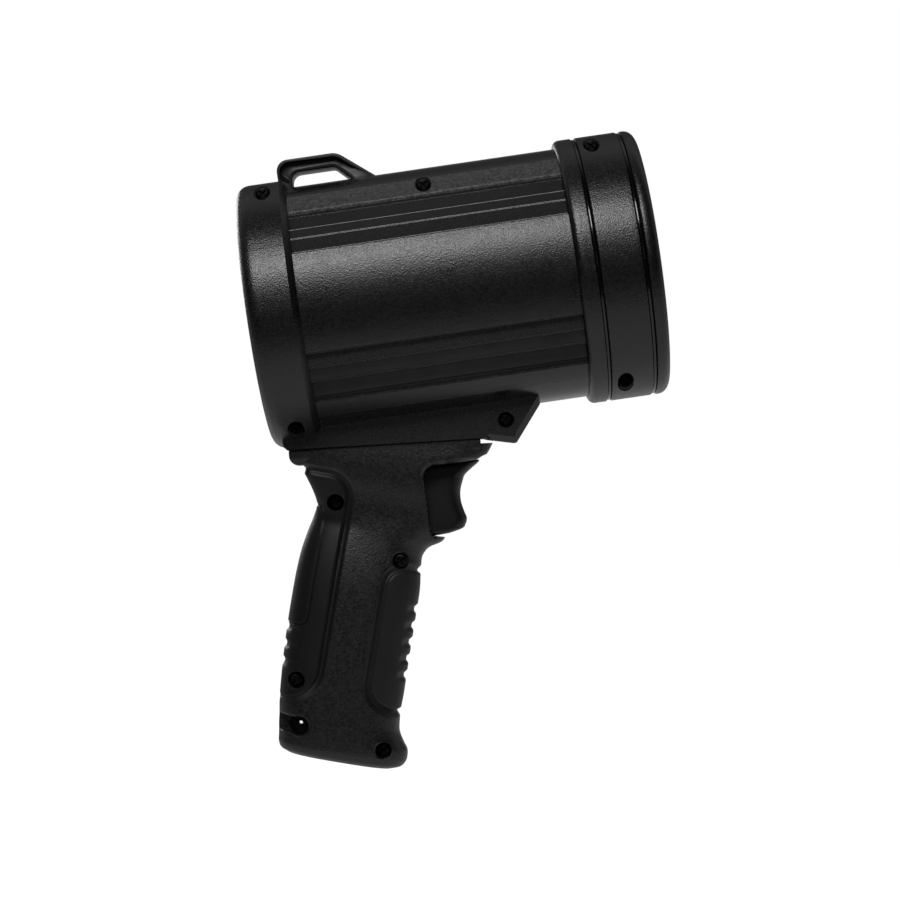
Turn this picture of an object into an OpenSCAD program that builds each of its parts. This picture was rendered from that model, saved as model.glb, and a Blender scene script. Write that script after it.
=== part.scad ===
// Handheld searchlight: a round lamp head with a stepped barrel, a carry loop and a pistol grip.
// X runs along the beam, Z is up and the origin is in the middle of the hand grip.
// The head and the grip are clamshells, split on the plane Y = 0, and every case screw runs along Y.

/* [Head] */
// Height of the beam axis above the middle of the grip
axis_z = 114; // [112:0.5:118]
// Place of the collar joint along the beam
joint_x = -3.4; // [-6:0.1:0]
// Radius of the plain barrel
barrel_r = 49.7; // [48.5:0.1:51]
// Length of the barrel from the collar joint to the front bead
barrel_len = 106.4; // [102:0.2:116]
// Wall of the barrel
wall = 3; // [2.4:0.1:3.6]
// Height of the textured bands over the barrel
band_rise = 0.5; // [0.2:0.1:1]
// Depth of the flat along the top of the barrel
spine_cut = 0.45; // [0.2:0.05:0.8]
// Radius inside the collar and the front ring
bore_r = 42.4; // [42.2:0.1:42.8]

/* [Collar] */
// Radius of the rear collar
collar_r = 52.8; // [52:0.1:54]
// Length of the rear collar
collar_len = 20.4; // [19.5:0.1:26]
// Rounding of the collar's rear edge
collar_edge = 5.2; // [2:0.1:6]
// Length of the bevel from the collar down to the barrel
collar_bevel = 2.3; // [1.5:0.1:3]
// Thickness of the rear cover
cover_t = 2.6; // [2:0.1:3]
// Radius of the rear cover
cover_r = 45.2; // [44.6:0.1:46]
// Thickness of the rear gasket
rear_gasket_t = 1.2; // [0.8:0.1:1.4]

/* [Front ring] */
// Radius of the bead, the front band and the lip
front_r = 52.8; // [51.8:0.1:54]
// Length of the rounded bead behind the first groove
bead_len = 7.2; // [6:0.1:9]
// Width of each seal groove
groove_w = 1.6; // [1.4:0.1:2]
// Depth of each seal groove
groove_d = 1.9; // [1.6:0.1:2.2]
// Length of the front band
front_band_len = 16.3; // [15.5:0.1:20]
// Length of the front lip
lip_len = 5.5; // [4.5:0.1:7]
// Rounding of the lip's front edge
lip_edge = 4; // [2:0.1:5]
// Radius of the seal rings' section
seal_r = 0.7; // [0.5:0.05:0.75]

/* [Optics] */
// Radius of the lens
lens_r = 45; // [44.4:0.1:45.6]
// Thickness of the lens
lens_t = 2.8; // [2:0.1:3.2]
// Thickness of the lens gasket
gasket_t = 1.6; // [1.2:0.1:1.8]
// Thickness of the reflector's rim
rim_t = 1.8; // [1.2:0.1:2]
// Focal length of the reflector
focal_len = 7; // [6.6:0.1:7.6]
// Thickness of the reflector
mirror_t = 1.6; // [1.2:0.1:2]
// Radius of the hole in the reflector for the lamp
lamp_hole_r = 8; // [7.5:0.1:9]
// Radius of the lamp's glass
bulb_r = 5.5; // [4.5:0.1:6]
// Length of the lamp holder
holder_len = 16; // [14:0.5:18]
// Radius of the lamp holder
holder_r = 13; // [12:0.5:14]

/* [Battery] */
// Radius of one battery cell
cell_r = 11.4; // [11:0.1:11.6]
// Length of one battery cell
cell_len = 42; // [38:0.5:43]
// Gap between neighbouring cells
cell_gap = 0.5; // [0.3:0.1:0.8]
// Number of cells around the middle cell
ring_cells = 7; // [6:1:7]
// Thickness of the battery end plates
plate_t = 2.5; // [2:0.1:3]

/* [Carry loop] */
// Height of the loop over the beam axis
loop_top = 60.5; // [60:0.1:63]
// Width of the loop across the head
loop_w = 14; // [12:0.5:18]
// Thickness of the loop's top bar
loop_bar = 5.2; // [4.6:0.1:5.8]
// Length of the opening under the bar
loop_gap_len = 23.2; // [21:0.1:24]
// Depth of the channel in each side of the loop
loop_channel = 2.5; // [1:0.1:4]

/* [Saddle] */
// Half width of the saddle under the barrel
saddle_half = 17; // [16.5:0.1:18]
// Reach of the saddle's nose from the collar joint
saddle_nose_x = 87.1; // [85.5:0.1:90]
// Slope of the line where the grip meets the saddle
flange_tilt = 4.8; // [4:0.1:6]
// Depth of that line under the beam axis at the collar joint
flange_z = 55.4; // [55:0.1:56.5]
// Thickness of the flange on top of the grip
flange_t = 6; // [5.6:0.1:6.4]

/* [Grip] */
// Rake of the grip
rake = 17.8; // [17.3:0.1:18.3]
// Depth of the grip from front to rear
grip_depth = 50; // [49.2:0.1:51]
// Thickness of the grip
grip_w = 35; // [34:0.2:37]
// Height of the grip's middle over its base
base_z = 66.6; // [65.6:0.1:68]
// Wall of the grip shells
grip_wall = 2.2; // [1.8:0.1:2.6]
// Thickness of the rubber pads
pad_t = 1.6; // [1.2:0.1:1.8]
// Width of the parting groove around the pads
pad_gap = 1.2; // [0.8:0.1:1.6]
// Width of the gap around the palm pad
palm_gap = 0.5; // [0.3:0.1:0.8]
// Radius of the lanyard hole
lanyard_r = 1.1; // [0.8:0.1:1.5]

/* [Trigger] */
// Travel of the trigger
trigger_travel = 6; // [3:0.5:7]
// Width of the trigger
trigger_w = 18; // [16:0.5:20]
// Height of the trigger
trigger_h = 27; // [25:0.2:27.2]
// Reach of the trigger out of its opening
trigger_reach = 22.9; // [21:0.1:24]
// Free length of the return spring as fitted
spring_len = 14; // [13:0.5:14]
// Mean radius of the return spring
spring_r = 3.6; // [3.4:0.1:3.8]
// Radius of the spring wire
wire_r = 0.5; // [0.4:0.05:0.55]
// Turns of the spring
spring_turns = 5; // [4:1:6]
// Radius of the switch plunger
plunger_r = 2; // [1.6:0.1:2.4]

/* [Screws] */
// Radius of a case screw's shank
screw_r = 1.5; // [1.2:0.05:1.6]
// Radius of a case screw's head
head_r = 2.8; // [2.5:0.1:2.9]
// Height of a case screw's head
head_h = 2.2; // [1.8:0.1:2.6]
// Radius of the pocket around a case screw's head
pocket_r = 3.2; // [3.1:0.05:3.4]

/* [Hidden] */
$fn = 64;

// Clearance between pieces that are fitted and stay put
fit = 0.15;
// Clearance on the radius of a sliding or threaded fit
slide = 0.05;
// Clearance around the trigger
trigger_fit = 0.4;
// A cut reaches this far past the face that it opens
past = 1;
// A size larger than the whole object
huge = 400;

// Stations along the beam, from the collar joint
bead_x = barrel_len;
groove1_x = bead_x + bead_len;
front_band_x = groove1_x + groove_w;
groove2_x = front_band_x + front_band_len;
lip_x = groove2_x + groove_w;
front_x = lip_x + lip_len;
// The lens groove opens to the front aperture
lens_front_x = groove2_x - 0.4;
lens_x = lens_front_x - lens_t;
gasket_x = lens_x - gasket_t;
rim_x = gasket_x - rim_t;
cover_x = -collar_len + 2.6;
rear_gasket_x = cover_x + cover_t;
collar_screw_x = -9.2;
front_screw_x = front_band_x + 5.3;
rim_screw_z = 46.6;
rim_seat = 20;
band_screw_x = 53.4;
band_screw_z = 40.4;
band_seat = 25;
saddle_screw_x = 72.3;
saddle_screw_z = -54.4;
saddle_seat = 13;
// Case screws of the head: place along the beam, height, seat of the head from the split
head_screws = [
    [collar_screw_x, rim_screw_z, rim_seat],
    [collar_screw_x, -rim_screw_z, rim_seat],
    [front_screw_x, rim_screw_z, rim_seat],
    [front_screw_x, -rim_screw_z, rim_seat],
    [band_screw_x, band_screw_z, band_seat],
    [saddle_screw_x, saddle_screw_z, saddle_seat]];
head_screw_reach = 12;
boss_r = 4.5;

// Angles of the barrel's features above and below the sides
step_angles = [23.5, 30, 36.4, 45];
band_angles = [46, 59.6];
valley_w = 0.9;
valley_d = 0.8;

// Reflector: a parabola from the lamp hole to the rim
mirror_r = bore_r - fit - mirror_t;
apex_x = rim_x - mirror_r * mirror_r / (4 * focal_len);
neck_x = apex_x + lamp_hole_r * lamp_hole_r / (4 * focal_len);

// Battery pack between the rear gasket and the lamp holder
pack_x = rear_gasket_x + rear_gasket_t + 0.4;
cells_x = pack_x + plate_t;
front_plate_x = cells_x + cell_len;
cell_ring_r = (cell_r + cell_gap / 2) / sin(180 / ring_cells);
step_clear = norm([barrel_r * cos(step_angles[3]) - wall, barrel_r * sin(step_angles[2]) - wall]);
core_r = min(bore_r, step_clear) - 0.4;
neck_len = 5;
holder_x = neck_x - neck_len - holder_len;
foot_len = 7;
foot_r = 3.4;
strip_half = 3;
strip_t = 0.8;
strip_y = 8;

// Carry loop, in the plane Y = 0 of the head
loop_rear_x = -3.4;
loop_gap_x = 2.1;
loop_foot_x = 35.3;
strip_top = barrel_r - spine_cut;
bar_low = strip_top - 4.6;
key_x = 4;
key_len = 24;
key_flange = 3;
key_t = 1.8;
key_lap = 0.2;

// Grip stations up the grip: height, rear, front, half of the thickness lost there
grip_rear = -grip_depth / 2;
grip_front = grip_depth / 2;
grip_half_w = grip_w / 2;
section_power = 2.7;
grip_stations = [
    [-base_z, 8.6, 0.8, 4.6],
    [-base_z + 1.2, 5.9, 3.8, 2.6],
    [-base_z + 3.2, 4.4, 5.6, 1.2],
    [-base_z + 6.2, 3.85, 6.1, 0.6],
    [-base_z + 8.6, 3.5, 5.5, 0.4],
    [-base_z + 10.2, 3.2, 4.3, 0.3],
    [-base_z + 14.6, 2.7, 1.6, 0.1],
    [-base_z + 19.6, 2, 0.7, 0],
    [-36, 1, 0.6, 0],
    [-20, 0.2, 0.3, 0],
    [-5, 0, 0.2, 0],
    [6, 0.2, 0, 0],
    [14, 0.8, -0.9, 0.1],
    [20, 1.8, -0.8, 0.3],
    [23, 2.4, 1.2, 0.4],
    [25.5, 3, 5.2, 0.5],
    [28, 3.5, 8, 0.6],
    [33, 3.9, 9.4, 0.8],
    [36.5, 2.3, 10.2, 0.8],
    [40, 0.1, 11, 0.6],
    [44, -2.8, 12, 0.4],
    [48, -6, 13, 0.1],
    [68, -6, 19, 0]];
ring_sides = 28;
flange_rear_x = -14.3;
flange_front_x = 62.7;
flange_half = 18;
flange_edge = 4;
passage_x = -4.8;
passage_len = 10;
passage_half = 5;
cavity_low = -45;
cavity_high = 47;
boss_reach = 11;
shelf_reach = 14;

// Pads on the grip: limits along and across the grip
overlay_edge = -8.5;
overlay_low = -45.2;
overlay_high = 45.2;
overlay_corner = 9;
palm_edge = -16.8;
palm_low = -15.5;
palm_high = 32.3;
front_pad_edge = 11.4;
front_pad_low = -43.3;
front_pad_high = 13;
pad_corner = 7;
palm_corner = 4;
rib_pitch = 6.7;
front_rib_z = -29;
front_ribs = 5;
rear_rib_z = -31;
rear_ribs = 3;
rib_cut_r = 3;
rib_d = 1;

// Case screws of the grip, in the grip's own frame: place across, height, seat of the head
grip_points = [[-13.4, 34.5, 8], [15.6, 16.1, 11], [-17, -37, 10], [21.3, -58.8, 9]];
grip_screw_reach = 9;
lanyard_at = [-13, -54.7];
lanyard_pocket_r = 4;
lanyard_web = 1.5;
lanyard_slot_half = 3.4;
lanyard_slot_y = 9;

// Saddle screws, which hold the grip's flange from inside the barrel
saddle_points = [[4, 9.5], [4, -9.5], [52, 9.5], [52, -9.5]];
saddle_grip = 7.6;
saddle_screw_len = 13;

// Trigger, spring and switch, from the collar joint and the beam axis
opening_x = 36.9;
opening_top = -68.35;
opening_low = -96.25;
opening_corner = 4.5;
opening_foot = 2;
opening_reach = 60;
opening_drop = 13;
tail_x = 22.3;
spring_z = -81.9;
spring_seat_x = tail_x - spring_len;
spigot_len = 3;
seat_t = 4;
seat_half = 5;
plunger_bore = 12;
plunger_seat = 4;
switch_face_x = 9.3;
switch_len = 15;
switch_z = -92;
switch_h = 9;
switch_half = 6;
plunger_len = tail_x - switch_face_x - slide;
lead_r = 0.9;

module at_head() translate([joint_x, 0, axis_z]) children();

module at_grip() rotate([0, rake, 0]) children();

// Turns a profile of [radius, place along the beam] about the beam axis
module turned(profile) rotate([0, 90, 0]) rotate_extrude() polygon(profile);

module disc(r, x, len) translate([x, 0, 0]) rotate([0, 90, 0]) cylinder(r = r, h = len);

module across(r, x, z, from_y, to_y)
    translate([x, to_y, z]) rotate([90, 0, 0]) cylinder(r = r, h = to_y - from_y);

// Extrudes a side outline of [x, z] points from one Y to another
module side_slab(points, from_y, to_y)
    translate([0, to_y, 0]) rotate([90, 0, 0]) linear_extrude(to_y - from_y) polygon(points);

// Keeps one half of a clamshell: side -1 is the photographed right half, 1 is the left
module half(side) {
    intersection() {
        children();
        translate([-huge, side < 0 ? -huge : 0, -huge]) cube([2 * huge, huge, 2 * huge]);
    }
}

// Replaces each corner of [x, z, radius] by an arc of short chords
function corner(a, b, c, r, steps = 5) =
    let (u = (a - b) / norm(a - b), v = (c - b) / norm(c - b))
    let (turn = acos(max(-1, min(1, u * v))), reach = r / tan(turn / 2))
    let (mid = b + (u + v) / norm(u + v) * r / sin(turn / 2))
    let (p = b + u * reach - mid, q = b + v * reach - mid)
    let (sweep = acos(max(-1, min(1, p * q / (r * r)))))
    [for (i = [0:steps]) let (t = i / steps)
        mid + (p * sin(sweep * (1 - t)) + q * sin(sweep * t)) / sin(sweep)];
function flat(p) = [p[0], p[1]];
function rounded(points) = let (n = len(points)) [
    for (i = [0:n - 1])
        let (a = flat(points[(i + n - 1) % n]), b = flat(points[i]), c = flat(points[(i + 1) % n]))
        each (points[i][2] > 0 ? corner(a, b, c, points[i][2]) : [b])];

// Barrel section: a circle with raised bands and three upright flats in each quarter
module in_quarters() for (m = [0, 1], n = [0, 1]) mirror([m, 0]) mirror([0, n]) children();

module step_cuts(inset) {
    for (i = [0:len(step_angles) - 2])
        translate([barrel_r * cos(step_angles[i + 1]) - inset, barrel_r * sin(step_angles[i]) - inset])
            square([barrel_r, barrel_r * (sin(step_angles[i + 1]) - sin(step_angles[i])) + inset]);
}

module band_sector() {
    intersection() {
        circle(barrel_r + band_rise);
        polygon([[0, 0], for (a = band_angles) 2 * barrel_r * [cos(a), sin(a)]]);
    }
}

module barrel_section() {
    difference() {
        union() {
            circle(barrel_r);
            in_quarters() band_sector();
        }
        translate([-barrel_r, barrel_r - spine_cut]) square(2 * barrel_r);
        in_quarters() step_cuts(0);
        in_quarters() rotate((step_angles[3] + band_angles[0]) / 2)
            translate([barrel_r - valley_d, -valley_w / 2]) square([barrel_r, valley_w]);
    }
}

module barrel_bore_section() {
    difference() {
        circle(barrel_r - wall);
        in_quarters() step_cuts(wall);
    }
}

module along_beam(x, len) translate([x, 0, 0]) rotate([90, 0, 90]) linear_extrude(len) children();

// Outside of the head, solid
collar_profile = rounded([
    [0, -collar_len, 0], [collar_r, -collar_len, collar_edge], [collar_r, -collar_bevel, 0.4],
    [barrel_r + band_rise / 2, 0, 0], [0, 0, 0]]);
groove_r = front_r - groove_d;
front_profile = rounded([
    [0, bead_x, 0], [front_r, bead_x, 2.6], [front_r, groove1_x, 1], [groove_r, groove1_x, 0],
    [groove_r, front_band_x, 0], [front_r, front_band_x, 0.6], [front_r, groove2_x, 0.6],
    [groove_r, groove2_x, 0], [groove_r, lip_x, 0], [front_r, lip_x, 1],
    [front_r, front_x, lip_edge], [0, front_x, 0]]);

function flange_line(x) = -flange_z - x * tan(flange_tilt);
saddle_rear_x = -15.8;
saddle_top = -40;
nose_foot = [75.1, -64.2];
saddle_outline = [
    [saddle_rear_x, saddle_top], [saddle_rear_x, flange_line(saddle_rear_x) + 1.5],
    [saddle_rear_x + 1.5, flange_line(saddle_rear_x + 1.5)],
    [flange_front_x, flange_line(flange_front_x)], [flange_front_x + 1.6, -61.3],
    nose_foot, [saddle_nose_x - 0.5, -50.2], [saddle_nose_x, saddle_top]];
saddle_chamfer = 2.4;

// Takes the edge off a run of outline points, on both sides of the saddle
module saddle_chamfers() {
    for (i = [4:6], side = [-1, 1]) {
        a = saddle_outline[i];
        b = saddle_outline[i + 1];
        mid = (a + b) / 2;
        edge = saddle_chamfer * sqrt(2);
        translate([mid[0], side * saddle_half, mid[1]])
            rotate([0, -atan2(b[1] - a[1], b[0] - a[0]), 0])
                rotate([45, 0, 0])
                    cube([norm(b - a) + saddle_chamfer, edge, edge], center = true);
    }
}

module head_solid() {
    turned(collar_profile);
    along_beam(0, barrel_len) barrel_section();
    turned(front_profile);
    difference() {
        side_slab(saddle_outline, -saddle_half, saddle_half);
        saddle_chamfers();
    }
}

module head_cavity() {
    disc(bore_r - 1, -collar_len - past, collar_len);
    disc(cover_r + fit, cover_x - fit, cover_t + rear_gasket_t + 2 * fit);
    disc(bore_r, rear_gasket_x, rim_x - rear_gasket_x);
    along_beam(wall, barrel_len - 2 * wall) barrel_bore_section();
    disc(lens_r + fit, rim_x - fit, lens_front_x - rim_x + 2 * fit);
    disc(bore_r - 1, rim_x, front_x - rim_x + past);
    turned([[0, lip_x], [bore_r - 1, lip_x], [bore_r + 3, front_x + 0.1], [0, front_x + 0.1]]);
}

module head_screw_holes() {
    for (s = head_screws) {
        across(pocket_r, s[0], s[1], -huge / 4, -s[2]);
        across(screw_r + 0.2, s[0], s[1], -s[2] - past, 0);
        across(screw_r + slide, s[0], s[1], -past, head_screw_reach + 0.5);
    }
}

// The carry loop's lower bar and the wider key under it, which the two halves trap in the spine
module loop_bar_solid(clear, top) {
    translate([loop_rear_x - clear, -loop_w / 2 - clear, bar_low - clear])
        cube([loop_foot_x - loop_rear_x + 2 * clear, loop_w + 2 * clear, top - bar_low + clear]);
    translate([key_x - clear, -loop_w / 2 - key_flange - clear, bar_low - key_t - clear])
        cube([key_len + 2 * clear, loop_w + 2 * (key_flange + clear), key_t + key_lap + 2 * clear]);
}

module saddle_screw_places()
    for (p = saddle_points) translate([p[0], p[1], flange_line(p[0]) + saddle_grip]) children();

module wire_passage(low, high)
    translate([passage_x, -passage_half, low]) cube([passage_len, 2 * passage_half, high - low]);

module housing(side) {
    half(side) at_head() difference() {
        union() {
            difference() {
                head_solid();
                head_cavity();
            }
            intersection() {
                across(boss_r, band_screw_x, band_screw_z, -huge / 8, huge / 8);
                disc(barrel_r - wall / 2, 0, barrel_len);
            }
        }
        head_screw_holes();
        loop_bar_solid(fit, loop_top);
        wire_passage(flange_line(0) - huge / 8, -barrel_r + 2 * wall);
        saddle_screw_places() {
            translate([0, 0, -huge / 8]) cylinder(r = screw_r + 0.2, h = huge / 8 + past);
            cylinder(r = pocket_r, h = 10);
        }
    }
}

module right_housing() color("#1b1b1c") housing(-1);

module left_housing() color("#1b1b1c") housing(1);

loop_outer = rounded([
    [loop_rear_x, bar_low, 0], [loop_rear_x, loop_top, 3.6], [21.2, loop_top, 4],
    [loop_foot_x, strip_top, 0], [loop_foot_x, bar_low, 0]]);
loop_gap = rounded([
    [loop_gap_x, strip_top, 0], [loop_gap_x, loop_top - loop_bar, 3.4],
    [loop_gap_x + loop_gap_len - 4.6, loop_top - loop_bar, 2.6],
    [loop_gap_x + loop_gap_len, strip_top, 0]]);
loop_rim = 1.5;
loop_channel_low = 53.4;
loop_channel_line = rounded([
    [loop_rear_x + loop_rim, loop_channel_low, 0], [loop_rear_x + loop_rim, loop_top - loop_rim, 2.4],
    [20.6, loop_top - loop_rim, 3], [29.8, loop_channel_low, 0.5], [27.6, loop_channel_low - 1, 0.5],
    [19.4, loop_top - loop_bar + loop_rim, 3], [loop_gap_x - loop_rim, loop_top - loop_bar + loop_rim, 0],
    [loop_gap_x - loop_rim, loop_channel_low, 0]]);

module carry_loop() color("#1b1b1c") at_head() {
    difference() {
        side_slab(loop_outer, -loop_w / 2, loop_w / 2);
        side_slab(loop_gap, -loop_w, loop_w);
        side_slab(loop_channel_line, -loop_w, loop_channel - loop_w / 2);
        side_slab(loop_channel_line, loop_w / 2 - loop_channel, loop_w);
    }
    loop_bar_solid(0, bar_low + key_lap);
}

module rear_cover() color("#202021") at_head() {
    disc(cover_r, cover_x, cover_t);
    disc(bore_r - 1.4, cover_x - 1, 1 + cover_t / 2);
}

module ring(outer, inner, x, len) {
    difference() {
        disc(outer, x, len);
        disc(inner, x - past, len + 2 * past);
    }
}

module rear_gasket() color("#151515") at_head() ring(cover_r, bore_r, rear_gasket_x, rear_gasket_t);

module front_lens() color("#d8e4e8", 0.35) at_head() disc(lens_r, lens_x, lens_t);

module lens_gasket() color("#151515") at_head() ring(lens_r, bore_r - 1.6, gasket_x, gasket_t);

// A seal ring on the floor of its groove
module seal(x) {
    rotate([0, 90, 0]) rotate_extrude()
        translate([groove_r + seal_r + slide, x + groove_w / 2]) circle(seal_r, $fn = 24);
}

module bead_seal() color("#0c0c0c") at_head() seal(groove1_x);

module lip_seal() color("#0c0c0c") at_head() seal(groove2_x);

function dish(r) = apex_x + r * r / (4 * focal_len);
// The back of the reflector lies one thickness behind its face, along the normal
function dish_back(r) = let (slope = r / (2 * focal_len), l = sqrt(1 + slope * slope))
    [r + mirror_t * slope / l, dish(r) - mirror_t / l];

module reflector() color("#d5d8da") at_head() {
    n = 14;
    radii = [for (i = [0:n]) lamp_hole_r + (mirror_r - lamp_hole_r) * i / n];
    turned(concat(
        [[lamp_hole_r, neck_x - neck_len]],
        [for (r = radii) [r, dish(r)]],
        [[mirror_r, rim_x + rim_t], [lens_r, rim_x + rim_t], [lens_r, rim_x], [bore_r - fit, rim_x]],
        [for (i = [n:-1:1]) dish_back(radii[i])],
        [[lamp_hole_r + mirror_t, neck_x], [lamp_hole_r + mirror_t, neck_x - neck_len]]));
}

// The lamp: a capsule of glass on a pinched foot that plugs into its holder
module lamp_bulb() color("#e8e4d8") at_head() {
    tip_x = apex_x + focal_len + 4;
    turned(rounded([
        [0, holder_x + holder_len - foot_len, 0], [foot_r, holder_x + holder_len - foot_len, 0],
        [foot_r, holder_x + holder_len + 2, 1], [bulb_r, holder_x + holder_len + 5, 2],
        [bulb_r, tip_x, bulb_r - 0.5], [0, tip_x, 0]]));
}

module lamp_holder() color("#c9c2b2") at_head() {
    difference() {
        union() {
            disc(holder_r, holder_x, holder_len);
            disc(holder_r - 3, holder_x + holder_len - 1, 1);
        }
        disc(foot_r + slide, holder_x + holder_len - foot_len - slide, foot_len + past);
    }
}

module battery_cells() color("#3c5a4a") at_head() {
    for (i = [0:ring_cells - 1])
        rotate([360 / ring_cells * i, 0, 0])
            translate([0, 0, cell_ring_r]) disc(cell_r, cells_x, cell_len);
    disc(min(cell_r, cell_ring_r - cell_r - cell_gap), cells_x, cell_len);
}

// An end plate of the battery with a vent hole over each cell
module battery_plate(x) {
    difference() {
        disc(core_r, x, plate_t);
        for (i = [0:ring_cells - 1])
            rotate([360 / ring_cells * i, 0, 0]) translate([0, 0, cell_ring_r])
                disc(cell_r / 3, x - past, plate_t + 2 * past);
    }
}

module battery_rear_plate() color("#4a4a4a") at_head() battery_plate(pack_x);

module battery_front_plate() color("#4a4a4a") at_head() battery_plate(front_plate_x);

// Two contact strips carry the current from the battery to the lamp holder
module terminal_strips() color("#b08d4a") at_head() {
    strip_x = front_plate_x + plate_t;
    for (side = [-1, 1])
        translate([strip_x, side * strip_y - strip_t / 2, -strip_half])
            cube([holder_x - strip_x, strip_t, 2 * strip_half]);
}

// Grip: rings of a rounded section carried up the grip
function grip_low(z) = lookup(z, [for (s = grip_stations) [s[0], s[1]]]) + grip_rear;
function grip_high(z) = lookup(z, [for (s = grip_stations) [s[0], s[2]]]) + grip_front;
function grip_half(z) = grip_half_w - lookup(z, [for (s = grip_stations) [s[0], s[3]]]);
function bulge(v) = sign(v) * pow(abs(v), 2 / section_power);
function grip_ring(z, inset) =
    let (mid = (grip_low(z) + grip_high(z)) / 2, a = (grip_high(z) - grip_low(z)) / 2 - inset)
    [for (i = [0:ring_sides - 1]) let (t = 360 * (i + 0.5) / ring_sides)
        [mid + a * bulge(cos(t)), (grip_half(z) - inset) * bulge(sin(t)), z]];

// Skins a stack of rings that have the same number of points
module loft(rings) {
    n = len(rings[0]);
    m = len(rings);
    sides = [for (k = [0:m - 2], i = [0:n - 1]) let (a = k * n + i, b = k * n + (i + 1) % n)
        each [[a, b + n, b], [a, a + n, b + n]]];
    polyhedron(
        [for (r = rings) each r],
        concat(sides, [[for (i = [0:n - 1]) i], [for (i = [n - 1:-1:0]) (m - 1) * n + i]]));
}

module grip_form(inset, from_z = -base_z, to_z = grip_stations[len(grip_stations) - 1][0]) {
    heights = concat([from_z], [for (s = grip_stations) if (s[0] > from_z && s[0] < to_z) s[0]], [to_z]);
    loft([for (z = heights) grip_ring(z, inset)]);
}

// Outlines of the pads on the side of the grip, grown by g
function overlay_outline(g) = rounded([
    [-grip_depth, overlay_low - g, 0], [overlay_edge + g, overlay_low - g, pad_corner + g],
    [overlay_edge + g, overlay_high + g, overlay_corner + g], [-grip_depth, overlay_high + g, 0]]);
function palm_outline(g) = rounded([
    [-grip_depth, palm_low - g, 0], [palm_edge + g, palm_low - g, palm_corner + g],
    [palm_edge + g, palm_high + g, palm_corner + g], [-grip_depth, palm_high + g, 0]]);
function front_outline(g) = rounded([
    [grip_depth, front_pad_low - g, 0], [grip_depth, front_pad_high + g, 0],
    [front_pad_edge - g, front_pad_high + g, pad_corner + g],
    [front_pad_edge - g, front_pad_low - g, pad_corner + g]]);

module across_grip(outline) side_slab(outline, -grip_w, grip_w);

// A pad is the outer skin of the grip inside its outline, which lies between two heights
module pad(outline, from_z, to_z) {
    difference() {
        intersection() {
            grip_form(0, from_z - past, to_z + past);
            across_grip(outline);
        }
        grip_form(pad_t, from_z - 2 * past, to_z + 2 * past);
    }
}

// What the shells lose under the two pads that lie on them
module pad_seats() {
    difference() {
        union() {
            across_grip(overlay_outline(pad_gap));
            across_grip(front_outline(pad_gap));
        }
        grip_form(pad_t + fit);
    }
}

module on_flange() at_head() translate([0, 0, -flange_z - fit]) rotate([0, flange_tilt, 0]) children();

module flange() {
    on_flange() intersection() {
        side_slab(rounded([
            [flange_rear_x, 0, 0], [flange_front_x, 0, 0],
            [flange_front_x, -flange_t, flange_edge], [flange_rear_x, -flange_t, flange_edge]]),
            -flange_half, flange_half);
        along_beam(flange_rear_x - past, flange_front_x - flange_rear_x + 2 * past)
            polygon(rounded([
                [-flange_half, 0, 0], [flange_half, 0, 0],
                [flange_half, -flange_t, flange_edge], [-flange_half, -flange_t, flange_edge]]));
    }
}

// All that lies over the flange's top
module over_flange() on_flange() translate([-huge, -huge, 0]) cube(2 * huge);

module grip_ribs() {
    at_grip() for (g = grip_points) across(boss_r, g[0], g[1], -boss_reach, boss_reach);
    at_head() translate([spring_seat_x - seat_t, -seat_half, spring_z - seat_half])
        cube([seat_t, 2 * seat_half, 2 * seat_half]);
    at_head() for (side = [-1, 1])
        translate([switch_face_x - switch_len, side > 0 ? switch_half + fit : -shelf_reach,
            switch_z - switch_h / 2])
            cube([switch_len, shelf_reach - switch_half - fit, switch_h]);
}

module grip_cuts() {
    at_grip() {
        for (g = grip_points) {
            across(pocket_r, g[0], g[1], -huge / 4, -g[2]);
            across(screw_r + 0.2, g[0], g[1], -g[2] - past, 0);
            across(screw_r + slide, g[0], g[1], -past, grip_screw_reach + 0.5);
        }
        across(lanyard_r, lanyard_at[0], lanyard_at[1], -grip_w, grip_w);
        for (side = [0, 1]) mirror([0, side, 0]) {
            across(lanyard_pocket_r, lanyard_at[0], lanyard_at[1], lanyard_web, grip_w);
            translate([lanyard_at[0] - grip_depth, lanyard_slot_y, lanyard_at[1] - lanyard_slot_half])
                cube([grip_depth, grip_w, 2 * lanyard_slot_half]);
        }
    }
    at_head() {
        side_slab(rounded([
            [opening_x, opening_low, opening_foot], [opening_x, opening_top, opening_corner],
            [opening_x + opening_reach, opening_top, 0],
            [opening_x + opening_reach, opening_low - opening_drop, 0]]), -grip_w, grip_w);
        translate([tail_x - trigger_travel - trigger_fit, -trigger_w / 2 - trigger_fit, opening_low])
            cube([huge / 8, trigger_w + 2 * trigger_fit, opening_top - opening_low]);
        wire_passage(opening_top - 3, 0);
        saddle_screw_places() translate([0, 0, -saddle_screw_len - 0.5])
            cylinder(r = screw_r + slide, h = saddle_screw_len);
    }
}

// The hollow loft with its ribs, less the seats of the pads
module grip_body() {
    difference() {
        union() {
            at_grip() difference() {
                grip_form(0);
                grip_form(pad_t + fit + grip_wall, cavity_low, cavity_high);
            }
            grip_ribs();
        }
        at_grip() pad_seats();
        over_flange();
    }
}

module grip_shell(side) {
    half(side) difference() {
        union() {
            grip_body();
            flange();
        }
        grip_cuts();
    }
}

module right_grip() color("#191919") grip_shell(-1);

module left_grip() color("#191919") grip_shell(1);

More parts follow.
